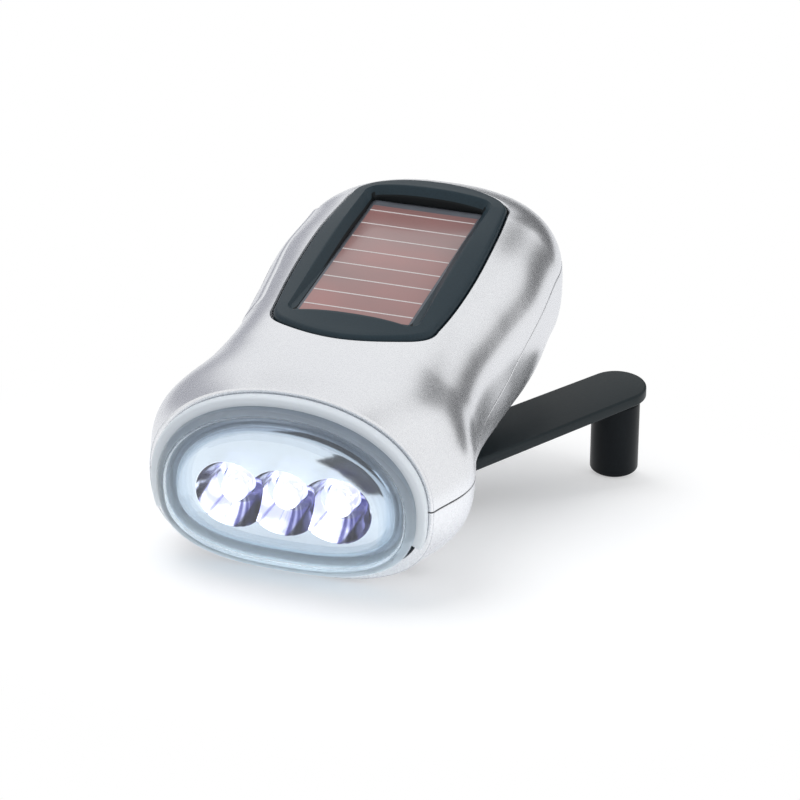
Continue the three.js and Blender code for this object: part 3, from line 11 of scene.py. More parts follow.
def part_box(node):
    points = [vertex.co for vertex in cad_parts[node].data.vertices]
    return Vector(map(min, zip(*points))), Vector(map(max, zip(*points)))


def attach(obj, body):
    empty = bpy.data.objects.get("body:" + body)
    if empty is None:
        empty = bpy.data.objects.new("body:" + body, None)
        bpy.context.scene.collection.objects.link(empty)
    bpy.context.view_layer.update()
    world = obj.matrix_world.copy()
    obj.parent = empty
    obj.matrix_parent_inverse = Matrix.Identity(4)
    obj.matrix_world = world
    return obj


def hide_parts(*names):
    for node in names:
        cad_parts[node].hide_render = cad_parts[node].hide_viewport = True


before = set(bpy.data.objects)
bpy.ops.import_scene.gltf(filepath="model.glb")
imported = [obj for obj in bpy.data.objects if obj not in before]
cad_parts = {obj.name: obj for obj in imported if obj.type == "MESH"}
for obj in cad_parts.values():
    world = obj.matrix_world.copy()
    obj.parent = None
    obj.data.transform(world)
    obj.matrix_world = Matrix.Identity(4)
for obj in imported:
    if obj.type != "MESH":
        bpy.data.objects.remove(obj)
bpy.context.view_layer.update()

# Silver shells. Two injection moulded halves meet on a curved part line and are sprayed in a fine
# metallic silver. Both are cut from one lofted outer form, hollow, with small broken edges along
# the part line, the lens seam and the openings for the solar frame and the switch bar.
seam_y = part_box("upper_shell")[0].y
body_length = 0.106
body_width = 0.0574
body_height = 0.0383
lens_axis_height = 0.0188
tail_axis_height = 0.0208
shell_wall = 0.0018
seat_gap = 0.0003
overrun = 0.06
tiny = 1e-9
station_shares = [0, 0.113, 0.236, 0.358, 0.491, 0.623, 0.755]
half_width_shares = [0.885, 1, 0.892, 0.84, 0.864, 0.906, 0.889]
roof_shares = [1, 0.95, 0.924, 0.945, 0.969, 0.982, 0.977]
belly_shares = [0.068, 0.023, 0.005, 0.005, 0.005, 0.021, 0.068]
tail_share = station_shares[-1]
tail_start = tail_share * body_length
squaring_share = 0.28
upper_powers = (2.1, 2.4)
lower_powers = (2.7, 2.8)
tail_plan_power = 1.8
tail_roof_power = 1.6
tail_roof_root = 0.62
part_station_shares = [0, 0.1, 0.4, 0.64, 1]
part_height_shares = [0.499, 0.473, 0.447, 0.604, 0.62]
ring_points = 144
body_rings = 96
tail_rings = 36
part_line_edge = 0.00025
part_line_lead = 0.002
frame_edge = 0.00035
fine_edge = 0.0003


def smooth_along(stations, values, places):
    """A smooth value along a row of stations, level at the last one."""
    s, v, places = (np.asarray(row, float) for row in (stations, values, places))
    before = np.maximum(np.arange(len(s) - 1) - 1, 0)
    slopes = np.append((v[1:] - v[before]) / (s[1:] - s[before]), 0)
    i = np.clip(np.searchsorted(s, places) - 1, 0, len(s) - 2)
    span, rise = s[i + 1] - s[i], v[i + 1] - v[i]
    t = np.clip((places - s[i]) / span, 0, 1)
    start, end = slopes[i] * span, slopes[i + 1] * span
    return v[i] + t * (start + t * (3 * rise - 2 * start - end + t * (start + end - 2 * rise)))


def ease(value, high):
    t = np.clip(value / high, 0, 1)
    return t * t * (3 - 2 * t)


def body_section(y, inset):
    """Half width, roof, belly, axis and the two powers of the section at y from the seam."""
    y = np.asarray(y, float)
    share = np.clip(y / body_length, 0, tail_share)
    settle, drift = ease(share, squaring_share), ease(share, tail_share)
    half = smooth_along(station_shares, half_width_shares, share) * body_width / 2 - inset
    roof = smooth_along(station_shares, roof_shares, share) * body_height - inset
    belly = smooth_along(station_shares, belly_shares, share) * body_height + inset
    axis = lens_axis_height + (tail_axis_height - lens_axis_height) * drift
    upper, lower = (low + (high - low) * settle for low, high in (upper_powers, lower_powers))
    reach = np.clip((y - tail_start) / (body_length - inset - tail_start), 0, 1)
    plan = np.sqrt(1 - reach**tail_plan_power)
    profile = (1 - reach**tail_roof_power) ** tail_roof_root
    roof, belly = axis + (roof - axis) * profile, axis + (belly - axis) * plan
    return half * plan, roof, belly, axis, upper, lower


def section_ring(section, y, scale=1.0):
    """Points of one section in the row frame, drawn in about the middle of its height."""
    half, roof, belly, axis, upper, lower = section
    turns = np.arange(ring_points) / ring_points * math.tau
    c, s = np.cos(turns), np.sin(turns)
    power = np.where(s > 0, upper, lower)
    height = np.where(s > 0, roof - axis, axis - belly)
    x = half * np.sign(c) * np.abs(c) ** (2 / power)
    z = axis + height * np.sign(s) * np.abs(s) ** (2 / power)
    middle = (roof + belly) / 2
    return np.stack([x * scale, np.full(ring_points, seam_y + y), middle + (z - middle) * scale], 1)


def mesh_object(name, points, faces):
    mesh = bpy.data.meshes.new(name)
    mesh.from_pydata([tuple(map(float, p)) for p in points], [], faces)
    piece = bpy.data.objects.new(name, mesh)
    bpy.context.scene.collection.objects.link(piece)
    return piece


def solid(name, points, faces):
    """A closed mesh with its faces turned outwards."""
    piece = mesh_object(name, points, faces)
    work = bmesh.new()
    work.from_mesh(piece.data)
    bmesh.ops.recalc_face_normals(work, faces=work.faces)
    work.to_mesh(piece.data)
    work.free()
    return piece


def bands(count, rows, closed=False):
    """Four sided faces between the rings of a stack, each of count points."""
    faces = []
    for r in range(rows if closed else rows - 1):
        a, b = r * count, (r + 1) % rows * count
        faces += [(a + i, b + i, b + (i + 1) % count, a + (i + 1) % count) for i in range(count)]
    return faces


def lofted(name, rings, tip=None, closed=False):
    """A solid through rings: each end closes to a middle point, or the row on itself."""
    rings = [np.asarray(ring, float) for ring in rings]
    count = len(rings[0])
    points = list(np.concatenate(rings))
    faces = bands(count, len(rings), closed)
    if not closed:
        for ring, base in ((rings[0], 0), (rings[-1], (len(rings) - 1) * count)):
            points.append(tip if base and tip is not None else ring.mean(0))
            middle = len(points) - 1
            faces += [(middle, base + i, base + (i + 1) % count) for i in range(count)]
    return solid(name, points, faces)


def stacked(name, rings):
    """A solid through flat rings, with one flat face at each end."""
    count, last = len(rings[0]), len(rings) * len(rings[0])
    faces = [tuple(range(count)), tuple(range(last - 1, last - count - 1, -1))]
    return solid(name, np.concatenate(rings), faces + bands(count, len(rings)))


def settled(piece):
    """Keeps what a piece's modifiers make as its plain mesh."""
    bpy.context.view_layer.update()
    evaluated = piece.evaluated_get(bpy.context.evaluated_depsgraph_get())
    made = bpy.data.meshes.new_from_object(evaluated)
    piece.modifiers.clear()
    old, piece.data = piece.data, made
    made.name = piece.name
    bpy.data.meshes.remove(old)
    return piece


def combine(piece, tools, operation):
    """Joins tools to a piece or cuts them from it; the tools are used up."""
    for tool in tools:
        change = piece.modifiers.new("change", "BOOLEAN")
        change.operation = operation
        change.solver = "MANIFOLD"
        change.object = tool
    settled(piece)
    for tool in tools:
        old = tool.data
        bpy.data.objects.remove(tool)
        bpy.data.meshes.remove(old)
    return piece


def body_form(name, inset, open_front=False):
    """The body's outer form, drawn in by an inset; for a hollow it runs out through the front."""
    tail_length = body_length - inset - tail_start
    places = [tail_start * i / body_rings for i in range(body_rings + 1)]
    quarters = [i / tail_rings * math.pi / 2 for i in range(1, tail_rings)]
    places += [tail_start + tail_length * math.sin(quarter) for quarter in quarters]
    rings = [section_ring(body_section(y, inset), y) for y in places]
    if open_front:
        rings.insert(0, section_ring(body_section(0, inset), -overrun))
    return lofted(name, rings, tip=(0, seam_y + body_length - inset, tail_axis_height))


def seam_prism(name, inset, low, high):
    section = body_section(0, inset)
    return lofted(name, [section_ring(section, low), section_ring(section, high)])


def at_height(outline, z):
    return np.column_stack([outline, np.full(len(outline), z)])


def prism(name, outline, low, high):
    """An upright solid over a plan outline."""
    return stacked(name, [at_height(outline, low), at_height(outline, high)])


def arc(x, y, radius, turns):
    return np.column_stack([x + radius * np.cos(turns), y + radius * np.sin(turns)])


def circle(x, y, radius, count=72):
    return arc(x, y, radius, np.arange(count) / count * math.tau)


def side_block(name, outline, x_low, x_high):
    """A solid across the body over an outline given as y from the seam and height."""
    return stacked(name, [[(x, seam_y + y, z) for y, z in outline] for x in (x_low, x_high)])


def part_height(y):
    shares = smooth_along(part_station_shares, part_height_shares, np.asarray(y) / body_length)
    return shares * body_height


def part_block(name, upper):
    """Everything above the part line, or below it, less half the gap between the shells."""
    places = np.concatenate([[-overrun], np.linspace(0, body_length, 120), [body_length + overrun]])
    edge = part_height(places) + (seat_gap / 2 if upper else -seat_gap / 2)
    far = body_height + overrun if upper else -overrun
    outline = [*zip(places, edge), (body_length + overrun, far), (-overrun, far)]
    return side_block(name, outline, -body_width, body_width)


def flank_width(y, z):
    """Half width of the body at a height."""
    half, roof, belly, axis, upper, lower = body_section(y, 0)
    above = z >= axis
    up = (z - axis) / np.maximum(roof - axis, tiny)
    down = (axis - z) / np.maximum(axis - belly, tiny)
    rise, power = np.where(above, up, down), np.where(above, upper, lower)
    return half * np.clip(1 - np.clip(rise, 0, 1) ** power, 0, 1) ** (1 / power)


def roof_height(x, y):
    """Height of the body's roof over a place in plan."""
    half, roof, belly, axis, upper, lower = body_section(y, 0)
    share = np.clip(np.abs(x) / np.maximum(half, tiny), 0, 1)
    return axis + (roof - axis) * np.clip(1 - share**upper, 0, 1) ** (1 / upper)


def edge_break(name, path, across, size, closed=True):
    """A square rod along a path, set on its corner, that breaks the edges it is cut from."""
    path = np.asarray(path, float)
    along = np.roll(path, -1, 0) - np.roll(path, 1, 0)
    if not closed:
        along[0], along[-1] = path[1] - path[0], path[-1] - path[-2]
    along /= np.linalg.norm(along, axis=1)[:, None]
    across = across - along * (along @ across)[:, None]
    across /= np.linalg.norm(across, axis=1)[:, None]
    side = np.cross(along, across)
    corners = (across, side, -across, -side)
    rings = np.stack([path + corner * size for corner in corners], 1)
    return lofted(name, rings, closed=closed)


def part_line_break(name):
    """The rod along the part line: down one flank, round the tail and back up the other."""
    low, high = tail_start, body_length
    for halving in range(50):
        end = (low + high) / 2
        meets = body_section(end, 0)[1] <= part_height(end)
        low, high = (low, end) if meets else (end, high)
    places = np.append(-part_line_lead, low * (1 - np.linspace(1, 0, 120) ** 2))
    heights = part_height(places)
    right = np.column_stack([flank_width(np.maximum(places, 0), heights), seam_y + places, heights])
    path = np.concatenate([right, (right * [-1, 1, 1])[::-1][1:]])
    return edge_break(name, path, np.array([0, 0, 1.0]), part_line_edge, closed=False)


frame_front = 0.0256
frame_rear = body_length - 0.0184
frame_half_width = 0.0162
frame_bulge = 0.0039
frame_rear_bulge = 0.002
frame_narrowing = 0.0013
frame_corner = 0.004


def frame_outline(margin, steps=24):
    """Plan of the solar frame, all four edges bowed, as points in the row frame."""
    front, rear = frame_front - margin, frame_rear + margin
    half = frame_half_width + margin
    side = half - frame_narrowing
    inner, middle = side - frame_corner, (front + rear) / 2
    front_edge, rear_edge = front + frame_bulge, rear - frame_rear_bulge
    front_corner = front_edge + frame_bulge * 2 * frame_corner / inner
    rear_corner = rear_edge - frame_rear_bulge * 2 * frame_corner / inner
    low, high = front_corner + frame_corner, rear_corner - frame_corner
    path = np.array([
        (-inner, front_edge), (0, front - frame_bulge),
        (inner, front_edge), (side, front_corner),
        (side, low), (half + frame_narrowing, middle),
        (side, high), (side, rear_corner),
        (inner, rear_edge), (0, rear + frame_rear_bulge),
        (-inner, rear_edge), (-side, rear_corner),
        (-side, high), (-half - frame_narrowing, middle),
        (-side, low), (-side, front_corner),
    ])
    starts, pulls, ends = path[::2], path[1::2], np.roll(path, -2, 0)[::2]
    t = np.arange(steps)[:, None] / steps
    runs = [(1 - t) ** 2 * start + 2 * t * (1 - t) * pull + t**2 * end
            for start, pull, end in zip(starts, pulls, ends)]
    return np.concatenate(runs) + [0, seam_y]


def frame_edge_break(name):
    outline = frame_outline(seat_gap)
    path = np.column_stack([outline, roof_height(outline[:, 0], outline[:, 1] - seam_y)])
    return edge_break(name, path, np.array([0, 0, 1.0]), frame_edge)


def seam_edge_break(name):
    ring = section_ring(body_section(0, 0), 0)
    return edge_break(name, ring, np.array([0, 1.0, 0]), fine_edge)


frame_rise = 0.0004
window_middle = 0.0576
window_depth = 0.0034
panel_thickness = 0.0016
panel_shelf = 0.0006
frame_face = float(roof_height(0, window_middle)) + frame_rise
panel_top = frame_face - window_depth
frame_bottom = panel_top - panel_thickness - panel_shelf
button_lip = 0.0009
button_headroom = 0.0004
button_front = 0.041
button_length = 0.042
button_bottom = max(part_height_shares) * body_height + button_lip + seat_gap
button_top = frame_bottom - button_lip - button_headroom
button_corner_share = 0.48
button_spacing = 0.001


def button_outline(margin):
    """Outline of the switch bar on the flank, as y from the seam and height."""
    low, high = button_bottom - margin, button_top + margin
    front, rear = button_front - margin, button_front + button_length + margin
    radius = (high - low) * button_corner_share
    corners = [(rear - radius, high - radius), (front + radius, high - radius),
               (front + radius, low + radius), (rear - radius, low + radius)]
    turns = np.arange(21) / 20 * math.pi / 2
    points = np.concatenate([arc(y, z, radius, turns + quarter * math.pi / 2)
                             for quarter, (y, z) in enumerate(corners)])
    fine = []
    for a, b in zip(points, np.roll(points, -1, 0)):
        pieces = max(1, int(np.linalg.norm(b - a) / button_spacing))
        fine += [a + (b - a) * k / pieces for k in range(pieces)]
    return np.array(fine)


def button_edge_break(name):
    y, z = button_outline(seat_gap).T
    path = np.column_stack([-flank_width(y, z), y + seam_y, z])
    return edge_break(name, path, np.array([1.0, 0, 0]), fine_edge)


def fill_inputs(tree, node, inputs):
    """Sets a node's inputs by name: a value is set on the socket, an output is linked to it."""
    for name, value in inputs.items():
        if isinstance(value, bpy.types.NodeSocket):
            tree.links.new(value, node.inputs[name])
        else:
            node.inputs[name].default_value = value


def add_node(tree, kind, inputs=None, **settings):
    node = tree.nodes.new(kind)
    for name, value in settings.items():
        setattr(node, name, value)
    fill_inputs(tree, node, inputs or {})
    return node


def new_material(name):
    """A material, its tree, its shader and the Object coordinates that its patterns read."""
    material = bpy.data.materials.new(name)
    material.use_nodes = True
    tree = material.node_tree
    place = add_node(tree, "ShaderNodeTexCoord").outputs["Object"]
    return material, tree, tree.nodes["Principled BSDF"], place


def noise(tree, place, scale, detail=2):
    inputs = {"Vector": place, "Scale": scale, "Detail": detail}
    return add_node(tree, "ShaderNodeTexNoise", inputs).outputs["Fac"]


def between(tree, factor, low, high):
    inputs = {"Value": factor, "To Min": low, "To Max": high}
    return add_node(tree, "ShaderNodeMapRange", inputs).outputs["Result"]


def tones(tree, factor, low, high, start=0, end=1):
    """A colour between two, as the factor goes from start to end."""
    node = add_node(tree, "ShaderNodeValToRGB", {"Fac": factor})
    for stop, position, colour in zip(node.color_ramp.elements, (start, end), (low, high)):
        stop.position, stop.color = position, (*colour, 1)
    return node.outputs["Color"]


def grain_bump(tree, height, strength):
    inputs = {"Height": height, "Strength": strength, "Distance": 0.0001}
    return add_node(tree, "ShaderNodeBump", inputs).outputs["Normal"]


def silver_paint():
    """Sprayed metallic silver: fine flakes, a faint orange peel and slightly uneven gloss."""
    material, tree, shader, place = new_material("silver_paint")
    flakes = add_node(tree, "ShaderNodeTexVoronoi", {"Vector": place, "Scale": 4200})
    grey = add_node(tree, "ShaderNodeRGBToBW", {"Color": flakes.outputs["Color"]}).outputs["Val"]
    fill_inputs(tree, shader, {
        "Metallic": 0.84, "Specular Tint": (0.86, 0.87, 0.9, 1),
        "Coat Weight": 0.25, "Coat Roughness": 0.2,
        "Base Color": tones(tree, grey, (0.75, 0.76, 0.785), (0.825, 0.835, 0.855)),
        "Roughness": between(tree, noise(tree, place, 900, 3), 0.23, 0.31),
        "Normal": grain_bump(tree, grey, 0.03),
    })
    return material


def finish_piece(piece, material, body, nodes, angle=32):
    """Smooth shading, one material, and the piece's place in the frame."""
    piece.data.materials.clear()
    piece.data.materials.append(material)
    piece.data.polygons.foreach_set("material_index", [0] * len(piece.data.polygons))
    piece.data.shade_smooth()
    piece.data.set_sharp_from_angle(angle=math.radians(angle))
    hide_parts(*nodes)
    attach(piece, body)


silver = silver_paint()
upper = body_form("upper_shell_skin", 0)
combine(upper, [body_form("inside", shell_wall, open_front=True)], "DIFFERENCE")
combine(upper, [part_block("above", True)], "INTERSECT")
combine(upper, [
    prism("frame_room", frame_outline(seat_gap), frame_bottom - seat_gap, body_height + overrun),
    side_block("button_room", button_outline(seat_gap), -body_width, 0),
    part_line_break("part_line_edge"),
    frame_edge_break("frame_edge"),
    button_edge_break("button_edge"),
    seam_edge_break("seam_edge"),
], "DIFFERENCE")
finish_piece(upper, silver, "housing", ["upper_shell"])

# Underside. The lower shell carries a flat round collar with the crank's well in it, the shallow
# recess that the arm folds into, and the deep well for the knob, all moulded in one with it.
crank_y = 0.035
hub_radius = 0.012
collar_radius = 0.0157
collar_rim = 0.0006
well_ceiling = 0.0068
well_floor = 0.0084
shaft_radius = 0.003
running_gap = 0.00015
arm_thickness = 0.0022
arm_drop = 0.0003
recess_ceiling = arm_thickness + arm_drop + seat_gap
stowed_knob_y = body_length - 0.0189
knob_radius = 0.0046
knob_foot = 0.0182
knob_clearance = 0.0006
knob_well_radius = knob_radius + knob_clearance
knob_well_ceiling = knob_foot + knob_clearance
arm_width = 0.0128
arm_end_radius = 0.0057
case_screws = [(-0.017, 0.012, 0.0064), (0.017, 0.012, 0.0064), (0, body_length - 0.0082, 0.0114)]
screw_head_radius = 0.0024
screw_boss_radius = 0.0034
screw_boss_height = 0.0076


def stowed_arm_outline(margin):
    wide, radius = arm_width / 2 + margin, arm_end_radius + margin
    end = arc(0, stowed_knob_y, radius, np.linspace(0, math.pi, 37))
    return np.concatenate([[(-wide, crank_y), (wide, crank_y)], end]) + [0, seam_y]


def rounded_collar(name):
    """The collar's solid: a flat ring face with a small rounded rim."""
    quarters = np.linspace(0, math.pi / 2, 6)
    core = collar_radius - collar_rim
    profile = [(core + collar_rim * math.sin(t), collar_rim * (1 - math.cos(t))) for t in quarters]
    profile.append((collar_radius, well_floor))
    return lofted(name, [at_height(circle(0, seam_y + crank_y, r, 96), z) for r, z in profile])


def below_body(name, y, radius, low, high, x=0, count=72):
    """A round solid under the body, at y from the seam."""
    return prism(name, circle(x, seam_y + y, radius, count), low, high)


pockets = below_body("knob_well_wall", stowed_knob_y, knob_well_radius + shell_wall,
                     0, knob_well_ceiling + shell_wall)
combine(pockets, [
    prism("recess_wall", stowed_arm_outline(seat_gap + shell_wall), 0, recess_ceiling + shell_wall),
    below_body("crank_wall", crank_y, collar_radius, 0, well_floor),
    *[below_body("screw_wall", y, screw_boss_radius, 0, seat + screw_boss_height, x)
      for x, y, seat in case_screws],
], "UNION")
combine(pockets, [body_form("skin_middle", shell_wall / 2)], "INTERSECT")
lower = body_form("lower_shell_skin", 0)
combine(lower, [body_form("inside", shell_wall, open_front=True)], "DIFFERENCE")
combine(lower, [pockets], "UNION")
combine(lower, [part_block("below", False)], "INTERSECT")
combine(lower, [part_line_break("part_line_edge"), seam_edge_break("seam_edge")], "DIFFERENCE")
combine(lower, [rounded_collar("collar")], "UNION")
combine(lower, [
    below_body("hub_room", crank_y, hub_radius + seat_gap, -overrun, well_ceiling),
    below_body("shaft_room", crank_y, shaft_radius + running_gap, -overrun, overrun),
    prism("arm_room", stowed_arm_outline(seat_gap), -overrun, recess_ceiling),
    below_body("knob_room", stowed_knob_y, knob_well_radius, -overrun, knob_well_ceiling),
    *[below_body("head_room", y, screw_head_radius + seat_gap, -overrun, seat, x, 40)
      for x, y, seat in case_screws],
], "DIFFERENCE")
finish_piece(lower, silver, "housing", ["lower_shell"])

# Switch bar. A long silver cap set in the left flank, sprayed with the shells, that tips a small
# push switch. It follows the flank and stands a hair proud of it, with rounded edges.
button_rise = 0.0003
button_rounding = 0.0006
button_skirt = 0.0026
button_spine_inset = 0.0028
button_inner_rings = (0.0006, 0.0012, 0.0018)


def crowned_bar(name):
    """The bar's cap: rings of the outline that shrink to its middle line, rounded at the edge."""
    rows = [(0, -button_skirt), (0, -button_rounding)]
    for t in np.linspace(0.2, math.pi / 2, 6):
        rows.append((button_rounding * (1 - math.cos(t)), -button_rounding * (1 - math.sin(t))))
    rows += [(button_rounding + inward, 0) for inward in button_inner_rings]
    outline = button_outline(0)
    spine = (button_front + button_spine_inset, button_front + button_length - button_spine_inset)
    centre_z = (button_bottom + button_top) / 2
    centre = at_height(np.clip(outline[:, 0], *spine)[:, None], centre_z)
    toward = centre - outline
    length = np.linalg.norm(toward, axis=1)[:, None]
    rings = []
    for shrink, lift in rows:
        y, z = (outline + toward / length * np.minimum(shrink, length * 0.98)).T
        rings.append(np.column_stack([-(flank_width(y, z) + button_rise + lift), y + seam_y, z]))
    return lofted(name, rings)


bar = crowned_bar("switch_bar")
finish_piece(bar, silver, "button", ["side_button"], angle=50)

# Solar frame. A dark moulded bezel with a soft rounded rim, laid in the roof, and a slanted lip
# that drops to the sunken window. It stands a little proud of the shell. The window's walls take a
# darker copy of the bezel's plastic as painted shade.
window_half = 0.01065
window_front = 0.0348
window_rear = frame_rear - 0.0072
window_bevel = 0.0015
window_corner = 0.0008
lip_edge = 0.0001
frame_rim = 0.0009
frame_skirt = 0.0032
panel_ledge = 0.0012
panel_clearance = 0.0002


def window_outline(grow, outer):
    """Points on the window's edge, one for each point of the frame's outline."""
    middle = np.array([0, seam_y + (window_front + window_rear) / 2])
    half = np.array([window_half, (window_rear - window_front) / 2]) + grow
    corner = window_corner + max(grow, 0)
    rays = outer - middle
    points = rays * np.min(half / np.maximum(np.abs(rays), tiny), axis=1)[:, None]
    inner = half - corner
    over = np.abs(points) - inner
    at_corner = (over > 0).all(1)[:, None]
    pull = over / np.maximum(np.linalg.norm(over, axis=1), tiny)[:, None] * corner
    return np.where(at_corner, np.sign(points) * (inner + pull), points) + middle


def on_roof(points, drop):
    """Plan points set on the frame's face, or below it by a drop."""
    return at_height(points, roof_height(points[:, 0], points[:, 1] - seam_y) + frame_rise - drop)


def solar_bezel(name):
    """One closed loop of rings: up the rim, over the face, down the lip and back underneath."""
    outer = frame_outline(0, steps=40)
    wall, lip = window_outline(0, outer), window_outline(window_bevel, outer)
    under = window_outline(panel_ledge, outer)
    toward = lip - outer
    length = np.linalg.norm(toward, axis=1)[:, None]
    rings = [on_roof(outer, frame_skirt)]
    for t in np.linspace(0, math.pi / 2, 8):
        points = outer + toward / length * frame_rim * (1 - math.cos(t))
        rings.append(on_roof(points, frame_rim * (1 - math.sin(t))))
    rings += [on_roof(outer + toward * s, 0) for s in (0.3, 0.45, 0.6, 0.75, 0.88, 0.96)]
    rings.append(on_roof(lip, lip_edge))
    lip_top = rings[-1][:, 2]
    lip_foot, wall_foot = lip_top - window_bevel, panel_top + panel_clearance
    for share in (0.15, 0.5, 0.85):
        rings.append(at_height(lip + (wall - lip) * share, lip_top - window_bevel * share))
    rings.append(at_height(wall + (lip - wall) * 0.04, lip_foot))
    rings += [at_height(wall, lip_foot - lip_edge), at_height(wall, wall_foot)]
    rings.append(at_height(under, wall_foot))
    rings.append(at_height(under, rings[0][:, 2].min()))
    return lofted(name, rings, closed=True)


def moulded_plastic(name, colour, roughness, grain, depth, shine=0.22):
    """Moulded plastic with a fine spark-eroded grain and slightly uneven gloss."""
    material, tree, shader, place = new_material(name)
    grains = noise(tree, place, grain, 4)
    dark, light = [c * 0.88 for c in colour], [c * 1.12 for c in colour]
    fill_inputs(tree, shader, {
        "Specular IOR Level": shine,
        "Base Color": tones(tree, grains, dark, light, 0.3, 0.7),
        "Roughness": between(tree, grains, roughness - 0.05, roughness + 0.07),
        "Normal": grain_bump(tree, grains, depth),
    })
    return material


slate_plastic = moulded_plastic("slate_plastic", (0.014, 0.027, 0.036), 0.42, 2600, 0.12)
# Painted shade: a darker copy of the bezel's plastic for the window's walls, which lie in shade.
wall_plastic_painted_shade = moulded_plastic("window_wall_painted_shade", (0.003, 0.005, 0.006), 0.6, 2600, 0.08)
bezel = solar_bezel("solar_bezel")
finish_piece(bezel, slate_plastic, "housing", ["solar_frame"], angle=38)
bezel.data.materials.append(wall_plastic_painted_shade)
# The faces inside the window's plan, its walls, take the painted shade.
window_low = (-window_half - seat_gap, seam_y + window_front - seat_gap)
window_high = (window_half + seat_gap, seam_y + window_rear + seat_gap)
for side in bezel.data.polygons:
    if all(low < at < high for low, at, high in zip(window_low, side.center, window_high)):
        side.material_index = 1

# Solar strip. A thin glass plate, amorphous cells deposited across it in bands, with a bare grey
# margin and a thin pale printed conductor between each two bands.
panel_low, panel_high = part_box("solar_panel")
cell_half = 0.0101
cell_front = seam_y + 0.0351
cell_rear = seam_y + 0.0784
film_thickness = 0.00003
conductor_count = 8
conductor_pitch = 0.0055
conductor_width = 0.00034
conductor_thickness = 0.00005
first_conductor = seam_y + 0.0378


def rectangle(low, high):
    return [(low[0], low[1]), (high[0], low[1]), (high[0], high[1]), (low[0], high[1])]


def eased(piece, width):
    """Bevels the sharp edges of a piece."""
    change = piece.modifiers.new("eased", "BEVEL")
    change.width, change.segments = width, 2
    change.limit_method, change.angle_limit = "ANGLE", math.radians(50)
    return settled(piece)


def plate(name, low, high, edge):
    """A flat plate between two corners, with eased edges."""
    return eased(prism(name, rectangle(low, high), low[2], high[2]), edge)


def geometry_tree(name, inputs):
    """A new geometry node tree, the names its inputs are set by, and the inputs' own sockets."""
    tree = bpy.data.node_groups.new(name, "GeometryNodeTree")
    face = tree.interface
    face.new_socket("Geometry", in_out="INPUT", socket_type="NodeSocketGeometry")
    sockets = {label: face.new_socket(label, in_out="INPUT", socket_type=kind).identifier
               for label, kind in inputs.items()}
    face.new_socket("Geometry", in_out="OUTPUT", socket_type="NodeSocketGeometry")
    return tree, sockets, add_node(tree, "NodeGroupInput").outputs


def close_tree(tree, points, shape, material, turn=(0, 0, 0)):
    """Ends a tree: the shape on each point, as real mesh in one material."""
    placed = {"Points": points, "Instance": shape, "Rotation": turn}
    spread = add_node(tree, "GeometryNodeInstanceOnPoints", placed).outputs["Instances"]
    real = add_node(tree, "GeometryNodeRealizeInstances", {"Geometry": spread}).outputs["Geometry"]
    painted = add_node(tree, "GeometryNodeSetMaterial", {"Geometry": real, "Material": material})
    add_node(tree, "NodeGroupOutput", {"Geometry": painted.outputs["Geometry"]})


def strip_row(material):
    """Geometry nodes: a row of thin flat strips."""
    tree, sockets, given = geometry_tree("strip_row", {
        "Count": "NodeSocketInt", "First": "NodeSocketVector",
        "Step": "NodeSocketVector", "Size": "NodeSocketVector",
    })
    line = add_node(tree, "GeometryNodeMeshLine", {
        "Count": given["Count"], "Start Location": given["First"], "Offset": given["Step"],
    })
    strip = add_node(tree, "GeometryNodeMeshCube", {"Size": given["Size"]})
    close_tree(tree, line.outputs["Mesh"], strip.outputs["Mesh"], material)
    return tree, sockets


def grown(name, row, values, points=((0, 0, 0),)):
    """Runs a geometry node tree on loose points and keeps what it makes as a plain mesh."""
    tree, sockets = row
    piece = mesh_object(name, points, [])
    change = piece.modifiers.new("nodes", "NODES")
    change.node_group = tree
    for label, value in values.items():
        change[sockets[label]] = value
    return settled(piece)


def maths(tree, operation, first, second=0):
    """What one math node gives; each input is a number or another node's output."""
    return add_node(tree, "ShaderNodeMath", {0: first, 1: second}, operation=operation).outputs[0]


def cell_film():
    """Reddish brown cell film under glass, a little greyer in some places and redder in others."""
    material, tree, shader, place = new_material("cell_film")
    grain = maths(tree, "MULTIPLY", noise(tree, place, 5000), 0.25)
    patches = maths(tree, "ADD", grain, noise(tree, place, 60))
    fill_inputs(tree, shader, {
        "Roughness": 0.28, "Coat Weight": 0.2, "Coat Roughness": 0.08,
        "Base Color": tones(tree, patches, (0.265, 0.17, 0.165), (0.36, 0.18, 0.17), 0.4, 0.85),
    })
    return material


glass_margin = moulded_plastic("bare_glass_margin", (0.13, 0.14, 0.16), 0.3, 300, 0.005)
printed_silver = moulded_plastic("printed_conductor", (0.62, 0.58, 0.57), 0.4, 6000, 0.05)
panel_plate = plate("solar_plate", panel_low, panel_high, 0.0001)
finish_piece(panel_plate, glass_margin, "housing", ["solar_panel"])
film_low = (-cell_half, cell_front, panel_high.z)
film_high = (cell_half, cell_rear, panel_high.z + film_thickness)
film = plate("solar_film", film_low, film_high, 0.00001)
finish_piece(film, cell_film(), "housing", [])
conductors = grown("solar_conductors", strip_row(printed_silver), {
    "Count": conductor_count,
    "First": (0, first_conductor, film_high[2]),
    "Step": (0, conductor_pitch, 0),
    "Size": (cell_half * 2, conductor_width, conductor_thickness),
})
finish_piece(conductors, printed_silver, "housing", [])
